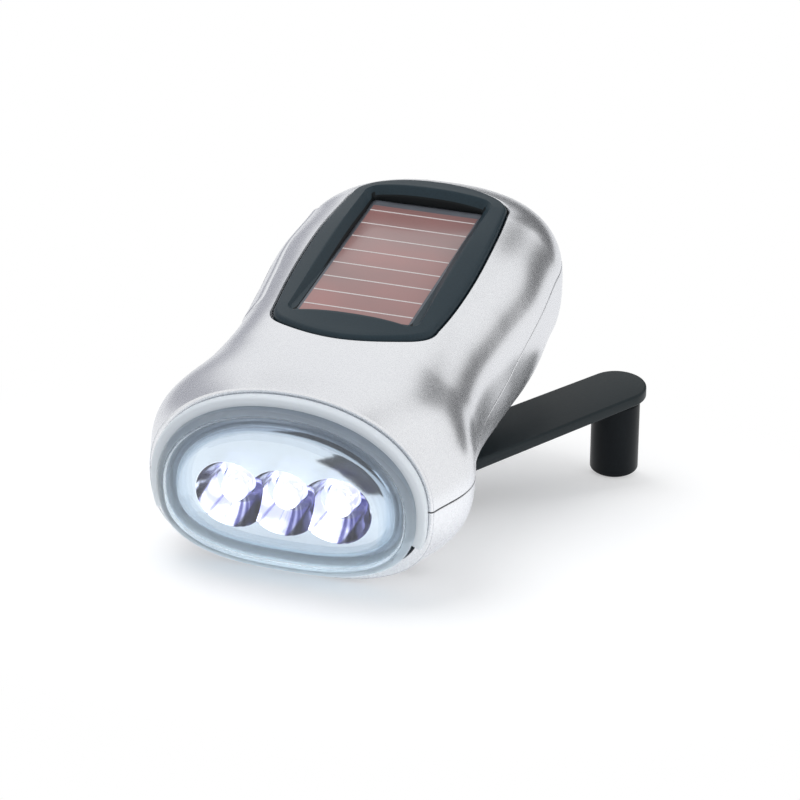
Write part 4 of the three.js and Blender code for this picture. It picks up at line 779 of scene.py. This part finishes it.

# Lens cover. One thick clear moulding: a domed front, straight sides, a spigot that sits inside the
# shells, and a flange against their edge that stops short of the underside. It is milky towards
# its rim, where it is thickest, and most of all at its foot. Its milky bands are painted grey
# towards the top as painted shade, and lighter blue towards the foot, where an emission adds
# painted lamp light.
lens_step = 0.0024
lens_wall = 0.002
lens_side = 0.0026
lens_dome = 0.0049
lens_power = 4
dome_rings = 40
flange_depth = 0.0015
flange_step = 0.0008
flange_foot = 0.0123
flange_rounding = 0.0004
spigot_depth = 0.0025
plain_tint = (0.94, 0.98, 1)
# Painted light: the milky bands are tinted a lighter blue at the foot than at their top.
painted_light_foot_tint = (0.84, 0.94, 1)
flange_reach = 1.02
frost_depth = seat_gap * 1.5
milky_reaches = (0.78, 0.86, 0.94)
milky_step = 0.0035
# Each milky layer: its clearness, the strength of an emission that paints lamp light into it, and
# its colour at the top; the darker greys are painted shade of the thick rim.
milky_layers_painted_light = [
    (0.97, 0, (0.78, 0.84, 0.9)),
    (0.93, 0, (0.56, 0.63, 0.71)),
    (0.87, 0, (0.44, 0.5, 0.58)),
    (0.8, 0.07, (0.5, 0.57, 0.65)),
    (0.72, 0.14, (0.5, 0.57, 0.65)),
    (0.64, 0.22, (0.5, 0.57, 0.65)),
]


def domed(name, step, dome, back):
    """The lens's form from its back, up its straight side and over its dome."""
    section = body_section(0, step)
    rings = [section_ring(section, back), section_ring(section, -lens_side)]
    for i in range(1, dome_rings):
        share = i / dome_rings
        turn = math.asin(share) if share > 0.5 else share * math.pi / 3
        front = -lens_side - dome * math.sin(turn)
        rings.append(section_ring(section, front, math.cos(turn) ** (2 / lens_power)))
    return lofted(name, rings)


def flange_ring(name):
    """The flange as a rounded strip along the seam."""
    order = np.roll(np.arange(ring_points), ring_points // 4)
    outer = section_ring(body_section(0, flange_step), 0)[order]
    inner = section_ring(body_section(0, lens_step + lens_wall / 2), 0)[order]
    above = outer[:, 2] > flange_foot
    outer, inner = outer[above], inner[above]
    inward = inner - outer
    inward /= np.linalg.norm(inward, axis=1)[:, None]
    back, front, soft = -seat_gap, -seat_gap - flange_depth, flange_rounding
    profile = [(0, back), (0, front + soft), (soft * 0.3, front + soft * 0.3), (soft, front)]
    corners = [outer + inward * into + (0, y, 0) for into, y in profile]
    corners += [inner + (0, front, 0), inner + (0, back, 0)]
    return lofted(name, np.stack(corners, 1))


def clear_plastic(name, clearness, gloss, painted_lamp_light=0, top=plain_tint, foot=plain_tint):
    """Clear moulded plastic, the milkier the less clear. Its tint may change from the lens's top
    to its foot, darker at the top as painted shade and lighter at the foot as painted light, and in
    the milky parts an emission paints a little of the lamps' light into it."""
    material, tree, shader, place = new_material(name)
    ripples = noise(tree, place, 400, 3)
    height = add_node(tree, "ShaderNodeSeparateXYZ", {"Vector": place}).outputs["Z"]
    rise = maths(tree, "DIVIDE", height, body_height)
    rise = maths(tree, "ADD", rise, maths(tree, "MULTIPLY", ripples, 0.1))
    fill_inputs(tree, shader, {
        "Transmission Weight": clearness, "IOR": 1.46,
        "Emission Color": (0.72, 0.87, 1, 1), "Emission Strength": painted_lamp_light,
        "Base Color": tones(tree, rise, foot, top),
        "Roughness": between(tree, ripples, *gloss),
    })
    return material


def reach_in_section(point, inset):
    """How far out a point lies in the seam's section: 1 on its outline."""
    half, roof, belly, axis, upper, lower = body_section(0, inset)
    height, power = (roof - axis, upper) if point.z > axis else (axis - belly, lower)
    total = (abs(point.x) / half) ** power + (abs(point.z - axis) / height) ** power
    return total ** (1 / power)


clear = clear_plastic("clear_plastic", 1, (0.02, 0.07))
# The flange takes a faint emission as painted lamp light, and a slightly darker top as painted
# shade.
frosted = clear_plastic("frosted_flange_painted_light", 0.3, (0.25, 0.4), 0.03, (0.84, 0.88, 0.92))
milky = [clear_plastic(f"milky_edge_painted_light_{k}", clearness, (0.04, 0.12), painted_lamp_light, top, painted_light_foot_tint)
         for k, (clearness, painted_lamp_light, top) in enumerate(milky_layers_painted_light)]
lens = domed("clear_lens", lens_step, lens_dome, 0)
spigot = seam_prism("spigot", lens_step, -lens_side / 2, spigot_depth)
combine(lens, [flange_ring("flange"), spigot], "UNION")
lens_hollow = domed("lens_hollow", lens_step + lens_wall, lens_dome - lens_wall, overrun)
combine(lens, [lens_hollow], "DIFFERENCE")
finish_piece(lens, clear, "housing", ["lens_cover"], angle=50)
for layer in (frosted, *milky):
    lens.data.materials.append(layer)
steps_down = len(milky_layers_painted_light) - len(milky_reaches)
# Bands further out and lower take milkier layers: the outer ones carry the painted shade of the
# rim, and the lower ones carry the painted lamp light.
for side in lens.data.polygons:
    reach = reach_in_section(side.center, lens_step)
    outward = sum(reach > limit for limit in milky_reaches)
    downward = min(max(int((lens_axis_height - side.center.z) / milky_step), 0), steps_down)
    if side.center.y > seam_y - frost_depth or reach > flange_reach:
        side.material_index = 1
    elif outward:
        side.material_index = 1 + outward + downward

# Reflector. A plated moulding behind the lens: a flat oval face with rounded shoulders, and three
# cups that run into one another. Inside the cups bright rays and deep violet blue between them are
# painted on the plating as painted reflections, darker towards the right and below as painted
# shade.
reflector_step = lens_step + lens_wall + seat_gap
reflector_wall = 0.0012
face_depth = 0.0035
shelf_depth = 0.0002
plateau_step = 0.0011
plateau_foot = 0.0008
plateau_flare = 0.0002
shoulder_width = 0.0017
shoulder_depth = 0.0013
crown_depth = 0.0006
crown_power = 3
skirt_back = 0.0033
cup_pitch = 0.00926
cup_radius = 0.0063
cup_depth = 0.005
cup_wall = 0.0009
cup_throat = 0.00295
cup_mouth = 0.0002
cup_tail = 0.0004
ray_margin = 0.00005
cup_places = [-cup_pitch, 0, cup_pitch]


def ring_across(x, y, z, radius, count=72):
    """A circle that faces along the body."""
    return np.insert(circle(x, z, radius, count), 1, y, axis=1)


def turned_cup(name, x, wall):
    """A cup's bowl and throat, larger all round by a wall."""
    radius, throat = cup_radius + wall, cup_throat + wall
    profile = [(radius, -face_depth - overrun), (radius, -face_depth - cup_mouth)]
    for share in np.linspace(0, 1, 16):
        bowl = throat + (radius - throat) * math.sqrt(1 - share)
        profile.append((bowl, -face_depth + cup_depth * share))
    profile.append((throat, skirt_back + cup_tail))
    return lofted(name, [ring_across(x, seam_y + y, lens_axis_height, r) for r, y in profile])


def reflector_form(name):
    """A skirt that fills the lens, a shelf, and a raised crowned face with soft shoulders."""
    face_step = plateau_step + shoulder_width
    rows = [(skirt_back, 0, 1), (-shelf_depth, 0, 1)]
    rows.append((-plateau_foot, plateau_step - plateau_flare, 1))
    for turn in np.linspace(0, math.pi / 2, 8):
        back = crown_depth + shoulder_depth * (1 - math.sin(turn))
        rows.append((-face_depth + back, plateau_step + shoulder_width * (1 - math.cos(turn)), 1))
    for scale in np.linspace(0.96, 0.04, 24):
        rows.append((-face_depth + crown_depth * scale**crown_power, face_step, scale))
    return lofted(name, [section_ring(body_section(0, reflector_step + inset), y, scale)
                         for y, inset, scale in rows])


def plated(name, colour, low, high):
    """Vacuum plating: a bright metal film with faint ripples."""
    material, tree, shader, place = new_material(name)
    ripples = noise(tree, place, 700)
    fill_inputs(tree, shader, {
        "Metallic": 1,
        "Base Color": tones(tree, ripples, [c * 0.94 for c in colour], colour),
        "Roughness": between(tree, ripples, low, high),
    })
    return material


def vectors(tree, operation, first, second=(0, 0, 0)):
    """The outputs of one vector math node; each input is a vector or another node's output."""
    inputs = {0: first, 1: second}
    return add_node(tree, "ShaderNodeVectorMath", inputs, operation=operation).outputs


def from_cup_axis(tree, place):
    """The way from the axis of the nearest cup, sideways and up."""
    split = add_node(tree, "ShaderNodeSeparateXYZ", {"Vector": place}).outputs
    cup = maths(tree, "ROUND", maths(tree, "DIVIDE", split["X"], cup_pitch))
    cup = maths(tree, "MINIMUM", maths(tree, "MAXIMUM", cup, -1), 1)
    across = maths(tree, "SUBTRACT", split["X"], maths(tree, "MULTIPLY", cup, cup_pitch))
    rise = maths(tree, "SUBTRACT", split["Z"], lens_axis_height)
    return add_node(tree, "ShaderNodeCombineXYZ", {"X": across, "Z": rise}).outputs["Vector"]


def plating_with_painted_rays():
    """The reflector's plating, with painted reflections in the cups: bright rays and deep violet
    blue between them, and painted shade towards each cup's right and lower side.
    """
    material = plated("plated_reflector", (0.8, 0.84, 0.9), 0.08, 0.15)
    tree = material.node_tree
    shader = tree.nodes["Principled BSDF"]
    away = from_cup_axis(tree, add_node(tree, "ShaderNodeTexCoord").outputs["Object"])
    direction = vectors(tree, "NORMALIZE", away)["Vector"]
    # Painted shade: each cup is painted darker towards its right and lower side.
    painted_dark_side = vectors(tree, "DOT_PRODUCT", direction, (0.2, 0, -0.08))["Value"]
    shade = maths(tree, "SUBTRACT", noise(tree, direction, 3.2), painted_dark_side)
    radius = vectors(tree, "LENGTH", away)["Value"]
    # Inside the cups the colour runs from deep violet blue to bright white: painted reflection and
    # shade.
    both = add_node(tree, "ShaderNodeMix", data_type="RGBA")
    fill_inputs(tree, both, {
        "Factor": maths(tree, "LESS_THAN", radius, cup_radius + ray_margin),
        "A": shader.inputs["Base Color"].links[0].from_socket,
        "B": tones(tree, shade, (0.1, 0.1, 0.24), (0.9, 0.91, 1), 0.3, 0.48),
    })
    fill_inputs(tree, shader, {"Base Color": both.outputs["Result"]})
    return material


reflector = reflector_form("plated_reflector")
face_back = -face_depth + crown_depth + reflector_wall
skirt_front = -shelf_depth + reflector_wall
combine(reflector, [
    seam_prism("skirt_hollow", reflector_step + reflector_wall, skirt_front, overrun),
    seam_prism("face_hollow", reflector_step + plateau_step + shoulder_width, face_back, overrun),
], "DIFFERENCE")
cup_backs = turned_cup("cup_back", cup_places[0], cup_wall)
combine(cup_backs, [turned_cup("cup_back", x, cup_wall) for x in cup_places[1:]], "UNION")
combine(cup_backs, [reflector_form("cup_limit")], "INTERSECT")
combine(reflector, [cup_backs], "UNION")
combine(reflector, [turned_cup("cup", x, 0) for x in cup_places], "DIFFERENCE")
finish_piece(reflector, plating_with_painted_rays(), "housing", ["reflector"], angle=40)

# Lamps. Three clear 5 mm diodes, one in each cup, soldered to a board behind the reflector. They
# are lit, as in the photograph.
led_radius = 0.0024
led_length = 0.0038
led_flange_radius = 0.0028
led_flange_depth = 0.001


def raised(tree, shape, height, turn=(0, 0, 0)):
    place = add_node(tree, "ShaderNodeCombineXYZ", {"Z": height}).outputs["Vector"]
    inputs = {"Geometry": shape, "Translation": place, "Rotation": turn}
    return add_node(tree, "GeometryNodeTransform", inputs).outputs["Geometry"]


def standing_rod(tree, radius, length, share, sides):
    """An upright rod, moved up by a share of its length."""
    inputs = {"Vertices": sides, "Radius": radius, "Depth": length}
    rod = add_node(tree, "GeometryNodeMeshCylinder", inputs).outputs["Mesh"]
    return raised(tree, rod, maths(tree, "MULTIPLY", length, share))


def joined(tree, shapes):
    join = add_node(tree, "GeometryNodeJoinGeometry")
    for shape in shapes:
        tree.links.new(shape, join.inputs["Geometry"])
    return join.outputs["Geometry"]


def lamp_row(material):
    """Geometry nodes: a round lamp with a flange on each point, turned to the front."""
    labels = ("Radius", "Length", "Flange Radius", "Flange Depth")
    tree, sockets, given = geometry_tree("lamp_row", dict.fromkeys(labels, "NodeSocketFloat"))
    ball = {"Segments": 48, "Rings": 24, "Radius": given["Radius"]}
    dome = add_node(tree, "GeometryNodeMeshUVSphere", ball).outputs["Mesh"]
    shape = joined(tree, [
        standing_rod(tree, given["Flange Radius"], given["Flange Depth"], 0.5, 48),
        standing_rod(tree, given["Radius"], given["Length"], 0.5, 48),
        raised(tree, dome, given["Length"]),
    ])
    close_tree(tree, given["Geometry"], shape, material, turn=(math.pi / 2, 0, 0))
    return tree, sockets


def lit_resin():
    """Clear resin, lit by the chip inside it: white about the axis, violet blue at its edge."""
    material, tree, shader, place = new_material("lit_resin")
    off_axis = vectors(tree, "LENGTH", from_cup_axis(tree, place))["Value"]
    spread = maths(tree, "DIVIDE", off_axis, led_radius)
    spread = maths(tree, "ADD", spread, maths(tree, "SUBTRACT", noise(tree, place, 900), 0.5))
    fill_inputs(tree, shader, {
        "Base Color": (0.6, 0.6, 0.8, 1), "Roughness": 0.08, "Emission Strength": 3,
        "Emission Color": tones(tree, spread, (1, 1, 1), (0.22, 0.22, 0.34), 0.75),
    })
    return material


resin = lit_resin()
lamps = grown("led_lamps", lamp_row(resin), {
    "Radius": led_radius, "Length": led_length,
    "Flange Radius": led_flange_radius, "Flange Depth": led_flange_depth,
}, [(x, seam_y + skirt_back, lens_axis_height) for x in cup_places])
finish_piece(lamps, resin, "housing", ["led_1", "led_2", "led_3"], angle=40)

# Crank arm. A flat moulded bar, eased on its edges, that turns on a steel pin between the hub's
# lugs; its round end carries the post that the knob turns on.
arm_angle = math.radians(54.9)
crank_turn = Matrix.Translation((0, seam_y + crank_y, 0)) @ Matrix.Rotation(arm_angle, 4, "Z")
hinge_offset = 0.005
arm_end = stowed_knob_y - crank_y + hinge_offset * 2
arm_top = -arm_drop
arm_bottom = arm_top - arm_thickness
arm_ease_low = 0.0003
arm_ease_top = 0.00045
pin_radius = 0.0011
knob_neck = 0.0008
knob_top = arm_bottom - knob_neck
neck_radius = 0.0028
neck_root = 0.0005
post_radius = 0.0022
post_root = 0.0004
post_foot = -knob_foot + 0.0023


def arm_outline(inset):
    wide, radius = arm_width / 2 - inset, arm_end_radius - inset
    end = arc(arm_end, 0, radius, np.linspace(-math.pi / 2, math.pi / 2, 49))
    return np.concatenate([[(hinge_offset, -wide)], end, [(hinge_offset, wide)]])


def eased_rows(low, high, ease_low, ease_high, steps):
    """Insets and heights up a side that is rounded at its foot and at its top."""
    turns = np.linspace(0, math.pi / 2, steps)
    rows = [(ease_low * (1 - math.sin(t)), low + ease_low * (1 - math.cos(t))) for t in turns]
    rows += [(ease_high * (1 - math.cos(t)), high - ease_high * (1 - math.sin(t))) for t in turns]
    return rows


def cross_rod(name, radius, length):
    """A rod across the arm on the hinge's axis."""
    ends = (-length / 2, length / 2)
    return lofted(name, [ring_across(hinge_offset, y, 0, radius, 64) for y in ends])


def upright(name, x, radius, low, high):
    return prism(name, circle(x, 0, radius), low, high)


def place_on_crank(piece):
    piece.data.transform(crank_turn)
    return piece


arm_rows = eased_rows(arm_bottom, arm_top, arm_ease_low, arm_ease_top, 5)
arm = stacked("folding_arm", [at_height(arm_outline(inset), z) for inset, z in arm_rows])
combine(arm, [
    cross_rod("knuckle", -arm_bottom, arm_width),
    upright("neck", arm_end, neck_radius, knob_top + seat_gap, arm_bottom + neck_root),
    upright("post", arm_end, post_radius, post_foot, arm_bottom + post_root),
], "UNION")
combine(arm, [cross_rod("pin_room", pin_radius + running_gap, overrun)], "DIFFERENCE")
arm_plastic = moulded_plastic("arm_plastic", (0.007, 0.013, 0.016), 0.4, 2200, 0.1)
finish_piece(place_on_crank(arm), arm_plastic, "arm", ["crank_arm"], angle=35)

# Knob. A round black grip, moulded with eased ends, that snaps over the arm's post and spins on
# it. The light stands on its foot.
knob_ease = 0.0005
bore_end = -knob_foot + 0.002

knob_rows = eased_rows(-knob_foot, knob_top, knob_ease, knob_ease, 7)
knob = lofted("grip_knob", [at_height(circle(arm_end, 0, knob_radius - inset, 96), z)
                            for inset, z in knob_rows])
bore = upright("knob_bore", arm_end, post_radius + running_gap, bore_end, overrun)
combine(knob, [bore], "DIFFERENCE")
knob_plastic = moulded_plastic("knob_plastic", (0.004, 0.006, 0.008), 0.38, 2400, 0.08, 0.12)
finish_piece(place_on_crank(knob), knob_plastic, "knob", ["crank_knob"], angle=35)

# Crank hub. A flat round boss, flush in the collar, with a slot across it for the arm, two lugs for
# the pin, and the shaft that carries the first gear.
hub_top = 0.0065
lug_radius = 0.0026
slot_half = arm_width / 2 + seat_gap
slot_ceiling = 0.0035
journal_top = 0.0089
shaft_end_radius = 0.0027
shaft_end_top = 0.0172
shaft_overlap = 0.0001
hub_edge = 0.00025

hub = upright("slotted_hub", 0, hub_radius, 0, hub_top)
lugs = cross_rod("lugs", lug_radius, hub_radius * 2)
combine(lugs, [upright("hub_round", 0, hub_radius, -overrun, hub_top)], "INTERSECT")
combine(hub, [
    lugs,
    upright("journal", 0, shaft_radius, hub_top - shaft_overlap, journal_top),
    upright("shaft_end", 0, shaft_end_radius, journal_top - shaft_overlap, shaft_end_top),
], "UNION")
slot = rectangle((-overrun, -slot_half), (overrun, slot_half))
combine(hub, [
    prism("slot", slot, -overrun, slot_ceiling),
    cross_rod("pin_room", pin_radius + running_gap, overrun),
], "DIFFERENCE")
eased(hub, hub_edge)
finish_piece(place_on_crank(hub), arm_plastic, "crank", ["crank_hub"], angle=35)

# Case screws. Three plated cross head screws, sunk in the lower shell, hold the two shells
# together from below.
screw_sizes = {
    "Head Radius": screw_head_radius, "Head Height": 0.0016,
    "Shank Radius": 0.00125, "Shank Length": 0.012, "Slot": (0.0029, 0.0007, 0.0016),
}


def screw_row(material):
    """Geometry nodes: a cross head screw on each point, head down."""
    kinds = {label: "NodeSocketFloat" for label in screw_sizes}
    tree, sockets, given = geometry_tree("screw_row", {**kinds, "Slot": "NodeSocketVector"})
    head = standing_rod(tree, given["Head Radius"], given["Head Height"], -0.5, 32)
    shank = standing_rod(tree, given["Shank Radius"], given["Shank Length"], 0.5, 32)
    cut = add_node(tree, "GeometryNodeMeshBoolean", operation="DIFFERENCE", solver="EXACT")
    fill_inputs(tree, cut, {"Mesh 1": head})
    head_foot = maths(tree, "MULTIPLY", given["Head Height"], -1)
    for turn in (0, math.pi / 2):
        blade = add_node(tree, "GeometryNodeMeshCube", {"Size": given["Slot"]}).outputs["Mesh"]
        tree.links.new(raised(tree, blade, head_foot, (0, 0, turn)), cut.inputs["Mesh 2"])
    shape = joined(tree, [cut.outputs["Mesh"], shank])
    close_tree(tree, given["Geometry"], shape, material)
    return tree, sockets


plated_steel = plated("plated_steel", (0.55, 0.56, 0.58), 0.25, 0.4)
shell_screws = grown("shell_screws", screw_row(plated_steel), screw_sizes,
                     [(x, seam_y + y, seat - seat_gap) for x, y, seat in case_screws])
screw_nodes = ["case_screw_1", "case_screw_2", "case_screw_3"]
finish_piece(shell_screws, plated_steel, "housing", screw_nodes)

# Works inside the housing. Gears, axles, generator, cells, boards and the switch keep the shapes
# that they are built with, each in the finish of its own material.
board_green = moulded_plastic("board_green", (0.03, 0.13, 0.06), 0.45, 900, 0.03)
nylon = moulded_plastic("natural_nylon", (0.7, 0.68, 0.62), 0.5, 1800, 0.05)
black_moulding = moulded_plastic("black_moulding", (0.012, 0.013, 0.015), 0.45, 2000, 0.08)
blue_film = moulded_plastic("blue_film", (0.03, 0.14, 0.35), 0.35, 1200, 0.03)
magnet_grey = moulded_plastic("magnet_grey", (0.04, 0.04, 0.045), 0.5, 3000, 0.1)
enamelled_copper = plated("enamelled_copper", (0.55, 0.22, 0.08), 0.25, 0.4)
works = [
    (board_green, ["led_board", "main_board"]),
    (nylon, ["drive_gear", "idler_gear_1", "idler_gear_2", "rotor_pinion", "switch_plunger"]),
    (black_moulding, ["gear_plate", "push_switch"]),
    (blue_film, ["battery_sleeve"]),
    (magnet_grey, ["rotor_magnet"]),
    (enamelled_copper, ["generator_coil"]),
    (plated_steel, ["battery_cell_1", "battery_cell_2", "battery_cell_3", "idler_axle_1",
                    "idler_axle_2", "generator_case", "rotor_shaft", "retaining_clip",
                    "hinge_pin", "plate_screw_1", "plate_screw_2", "plate_screw_3",
                    "plate_screw_4"]),
]
for material, names in works:
    for name in names:
        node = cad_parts[name]
        node.data.materials.clear()
        node.data.materials.append(material)

# Studio. The light stands on its nose and its knob, so the floor lies tilted to its frame. A pale
# floor fades into a white surround, under two large soft lamps. Matt cards stand in for the dark
# and grey parts of a studio that the silver and the reflector mirror.
seam_foot = float(body_section(0, 0)[2])
knob_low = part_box("crank_knob")[0]
floor_gap = 0.0001
floor_slope = (knob_low.z - seam_foot) / (knob_low.y - seam_y)
floor_turn = Matrix.Rotation(math.atan(floor_slope), 4, "X")
floor_place = Matrix.Translation((0, seam_y, seam_foot - floor_gap)) @ floor_turn
floor_half = 4.0
fade_middle = (0.01, 0.03, 0)
fade_start = 0.035
fade_end = 0.11
set_middle = Vector((0, 0.03, 0.02))
card_distance = 0.65
front_card_distance = 0.9
nose_card_ahead = 0.0147


def seen_directly(tree, path):
    """1 for a ray that leaves the camera, a glossy surface or the lens, 0 for soft light."""
    plain = maths(tree, "MAXIMUM", path["Is Camera Ray"], path["Is Glossy Ray"])
    return maths(tree, "MAXIMUM", plain, path["Is Transmission Ray"])


def mixed(tree, factor, first, second):
    return add_node(tree, "ShaderNodeMixShader", {0: factor, 1: first, 2: second}).outputs[0]


def pale_floor():
    """A matt floor, lifted a little where it is seen, that fades to white away from the light."""
    material, tree, shader, place = new_material("pale_floor")
    tree.nodes.remove(shader)
    path = add_node(tree, "ShaderNodeLightPath").outputs
    matt = add_node(tree, "ShaderNodeBsdfDiffuse", {"Color": (0.9, 0.9, 0.9, 1)}).outputs[0]
    for_camera = maths(tree, "MULTIPLY", path["Is Camera Ray"], 0.15)
    strength = maths(tree, "SUBTRACT", 0.35, for_camera)
    lift = add_node(tree, "ShaderNodeEmission", {"Strength": strength}).outputs[0]
    lifted = add_node(tree, "ShaderNodeAddShader", {0: matt, 1: lift}).outputs[0]
    near = mixed(tree, seen_directly(tree, path), matt, lifted)
    away = vectors(tree, "DISTANCE", place, fade_middle)["Value"]
    span = {"Value": away, "From Min": fade_start, "From Max": fade_end}
    fade = add_node(tree, "ShaderNodeMapRange", span, interpolation_type="SMOOTHSTEP")
    white = add_node(tree, "ShaderNodeEmission").outputs[0]
    surface = mixed(tree, fade.outputs["Result"], near, white)
    fill_inputs(tree, tree.nodes["Material Output"], {"Surface": surface})
    return material


def soft_lamp(name, place, width, height, power):
    light = bpy.data.lights.new(name, "AREA")
    light.shape = "RECTANGLE"
    light.size, light.size_y = width, height
    light.energy = power
    lamp = bpy.data.objects.new(name, light)
    lamp.location = place
    lamp.rotation_mode = "QUATERNION"
    lamp.rotation_quaternion = (set_middle - Vector(place)).to_track_quat("-Z", "Y")
    lamp.visible_glossy = False
    bpy.context.scene.collection.objects.link(lamp)


def card(name, tone, for_lens, points):
    """A matt card beside the set that shows only through the lens, or else only in gloss."""
    piece = mesh_object(name, points, [tuple(range(len(points)))])
    matt = bpy.data.materials.new(name)
    matt.use_nodes = True
    tree = matt.node_tree
    colour = (tone, tone, tone * 1.1, 1)
    fill_inputs(tree, tree.nodes["Principled BSDF"], {"Base Color": colour, "Roughness": 1})
    piece.data.materials.append(matt)
    for part in ("camera", "diffuse", "shadow", "volume_scatter"):
        setattr(piece, "visible_" + part, False)
    piece.visible_glossy, piece.visible_transmission = not for_lens, for_lens


def seen_at(distance, corners):
    """Points in degrees as seen from the set's middle: round from the tail to the right, and up."""
    places = []
    for round_by, up_by in corners:
        a, e = math.radians(round_by), math.radians(up_by)
        way = Vector((math.sin(a) * math.cos(e), math.cos(a) * math.cos(e), math.sin(e)))
        places.append(set_middle + distance * way)
    return places


floor_corners = rectangle((-floor_half, -floor_half), (floor_half, floor_half))
floor = mesh_object("floor", at_height(floor_corners, 0), [(0, 1, 2, 3)])
floor.matrix_world = floor_place
floor.data.materials.append(pale_floor())
soft_lamp("key", (-0.25, 0.15, 0.6), 0.5, 0.5, 1.9)
soft_lamp("fill", (0.5, -0.12, 0.2), 0.4, 0.3, 0.8)
tail_card = [(-25, -7), (46, -7), (46, 8), (27, 12), (20, 13), (19, 27), (9, 27), (4, 9), (-25, 2)]
left_card = [(-95, -9), (-28, -9), (-28, 2), (-95, 30)]
front_card = [(100, 0), (150, 8), (200, 18), (200, 70), (100, 70)]
nose_card = [(0.0031, 0.0238), (0.0081, 0.0266), (0.0143, 0.0265), (0.0184, 0.0221),
             (0.0181, 0.0179), (0.0127, 0.0173), (0.0099, 0.0198), (0.0072, 0.0221)]
card("card_behind", 0.03, False, seen_at(card_distance, tail_card))
card("card_left", 0.4, False, seen_at(card_distance, left_card))
card("card_front", 0.03, True, seen_at(front_card_distance, front_card))
card("card_nose", 0.01, True, [(x, seam_y - nose_card_ahead, z) for x, z in nose_card])

world = bpy.data.worlds.new("surround")
world.use_nodes = True
world.cycles.sampling_method = "NONE"
bpy.context.scene.world = world
sky = world.node_tree
sky.nodes.clear()
seen = seen_directly(sky, add_node(sky, "ShaderNodeLightPath").outputs)
soft_light = {"Color": (0.95, 0.97, 1, 1), "Strength": 0.62}
ambient = add_node(sky, "ShaderNodeBackground", soft_light).outputs[0]
white = add_node(sky, "ShaderNodeBackground", {"Color": (1, 1, 1, 1)}).outputs[0]
add_node(sky, "ShaderNodeOutputWorld", {"Surface": mixed(sky, seen, ambient, white)})

# Camera. A long lens, 0.6 m from the nose, a little to its right and looking down on it, so that
# the light stands in the picture as it does in the photograph.
camera_turn = math.radians(17.4)
camera_rise = math.radians(29.5)
camera_distance = 0.6
aside = 0.01868
above = 0.0155

right = Vector((math.cos(camera_turn), math.sin(camera_turn), 0))
level_back = Vector((math.sin(camera_turn), -math.cos(camera_turn), 0))
back = level_back * math.cos(camera_rise) + Vector((0, 0, math.sin(camera_rise)))
up = back.cross(right)
nose = Vector((0, seam_y, lens_axis_height))
eye = nose + back * camera_distance + right * aside + up * above
long_lens = bpy.data.cameras.new("camera")
long_lens.sensor_width = 36
long_lens.lens = 159.3
long_lens.clip_start = 0.01
long_lens.clip_end = 20
camera = bpy.data.objects.new("camera", long_lens)
camera.matrix_world = Matrix.Translation(eye) @ Matrix((right, up, back)).transposed().to_4x4()
bpy.context.scene.collection.objects.link(camera)
bpy.context.scene.camera = camera
bpy.context.scene.view_settings.view_transform = "Standard"
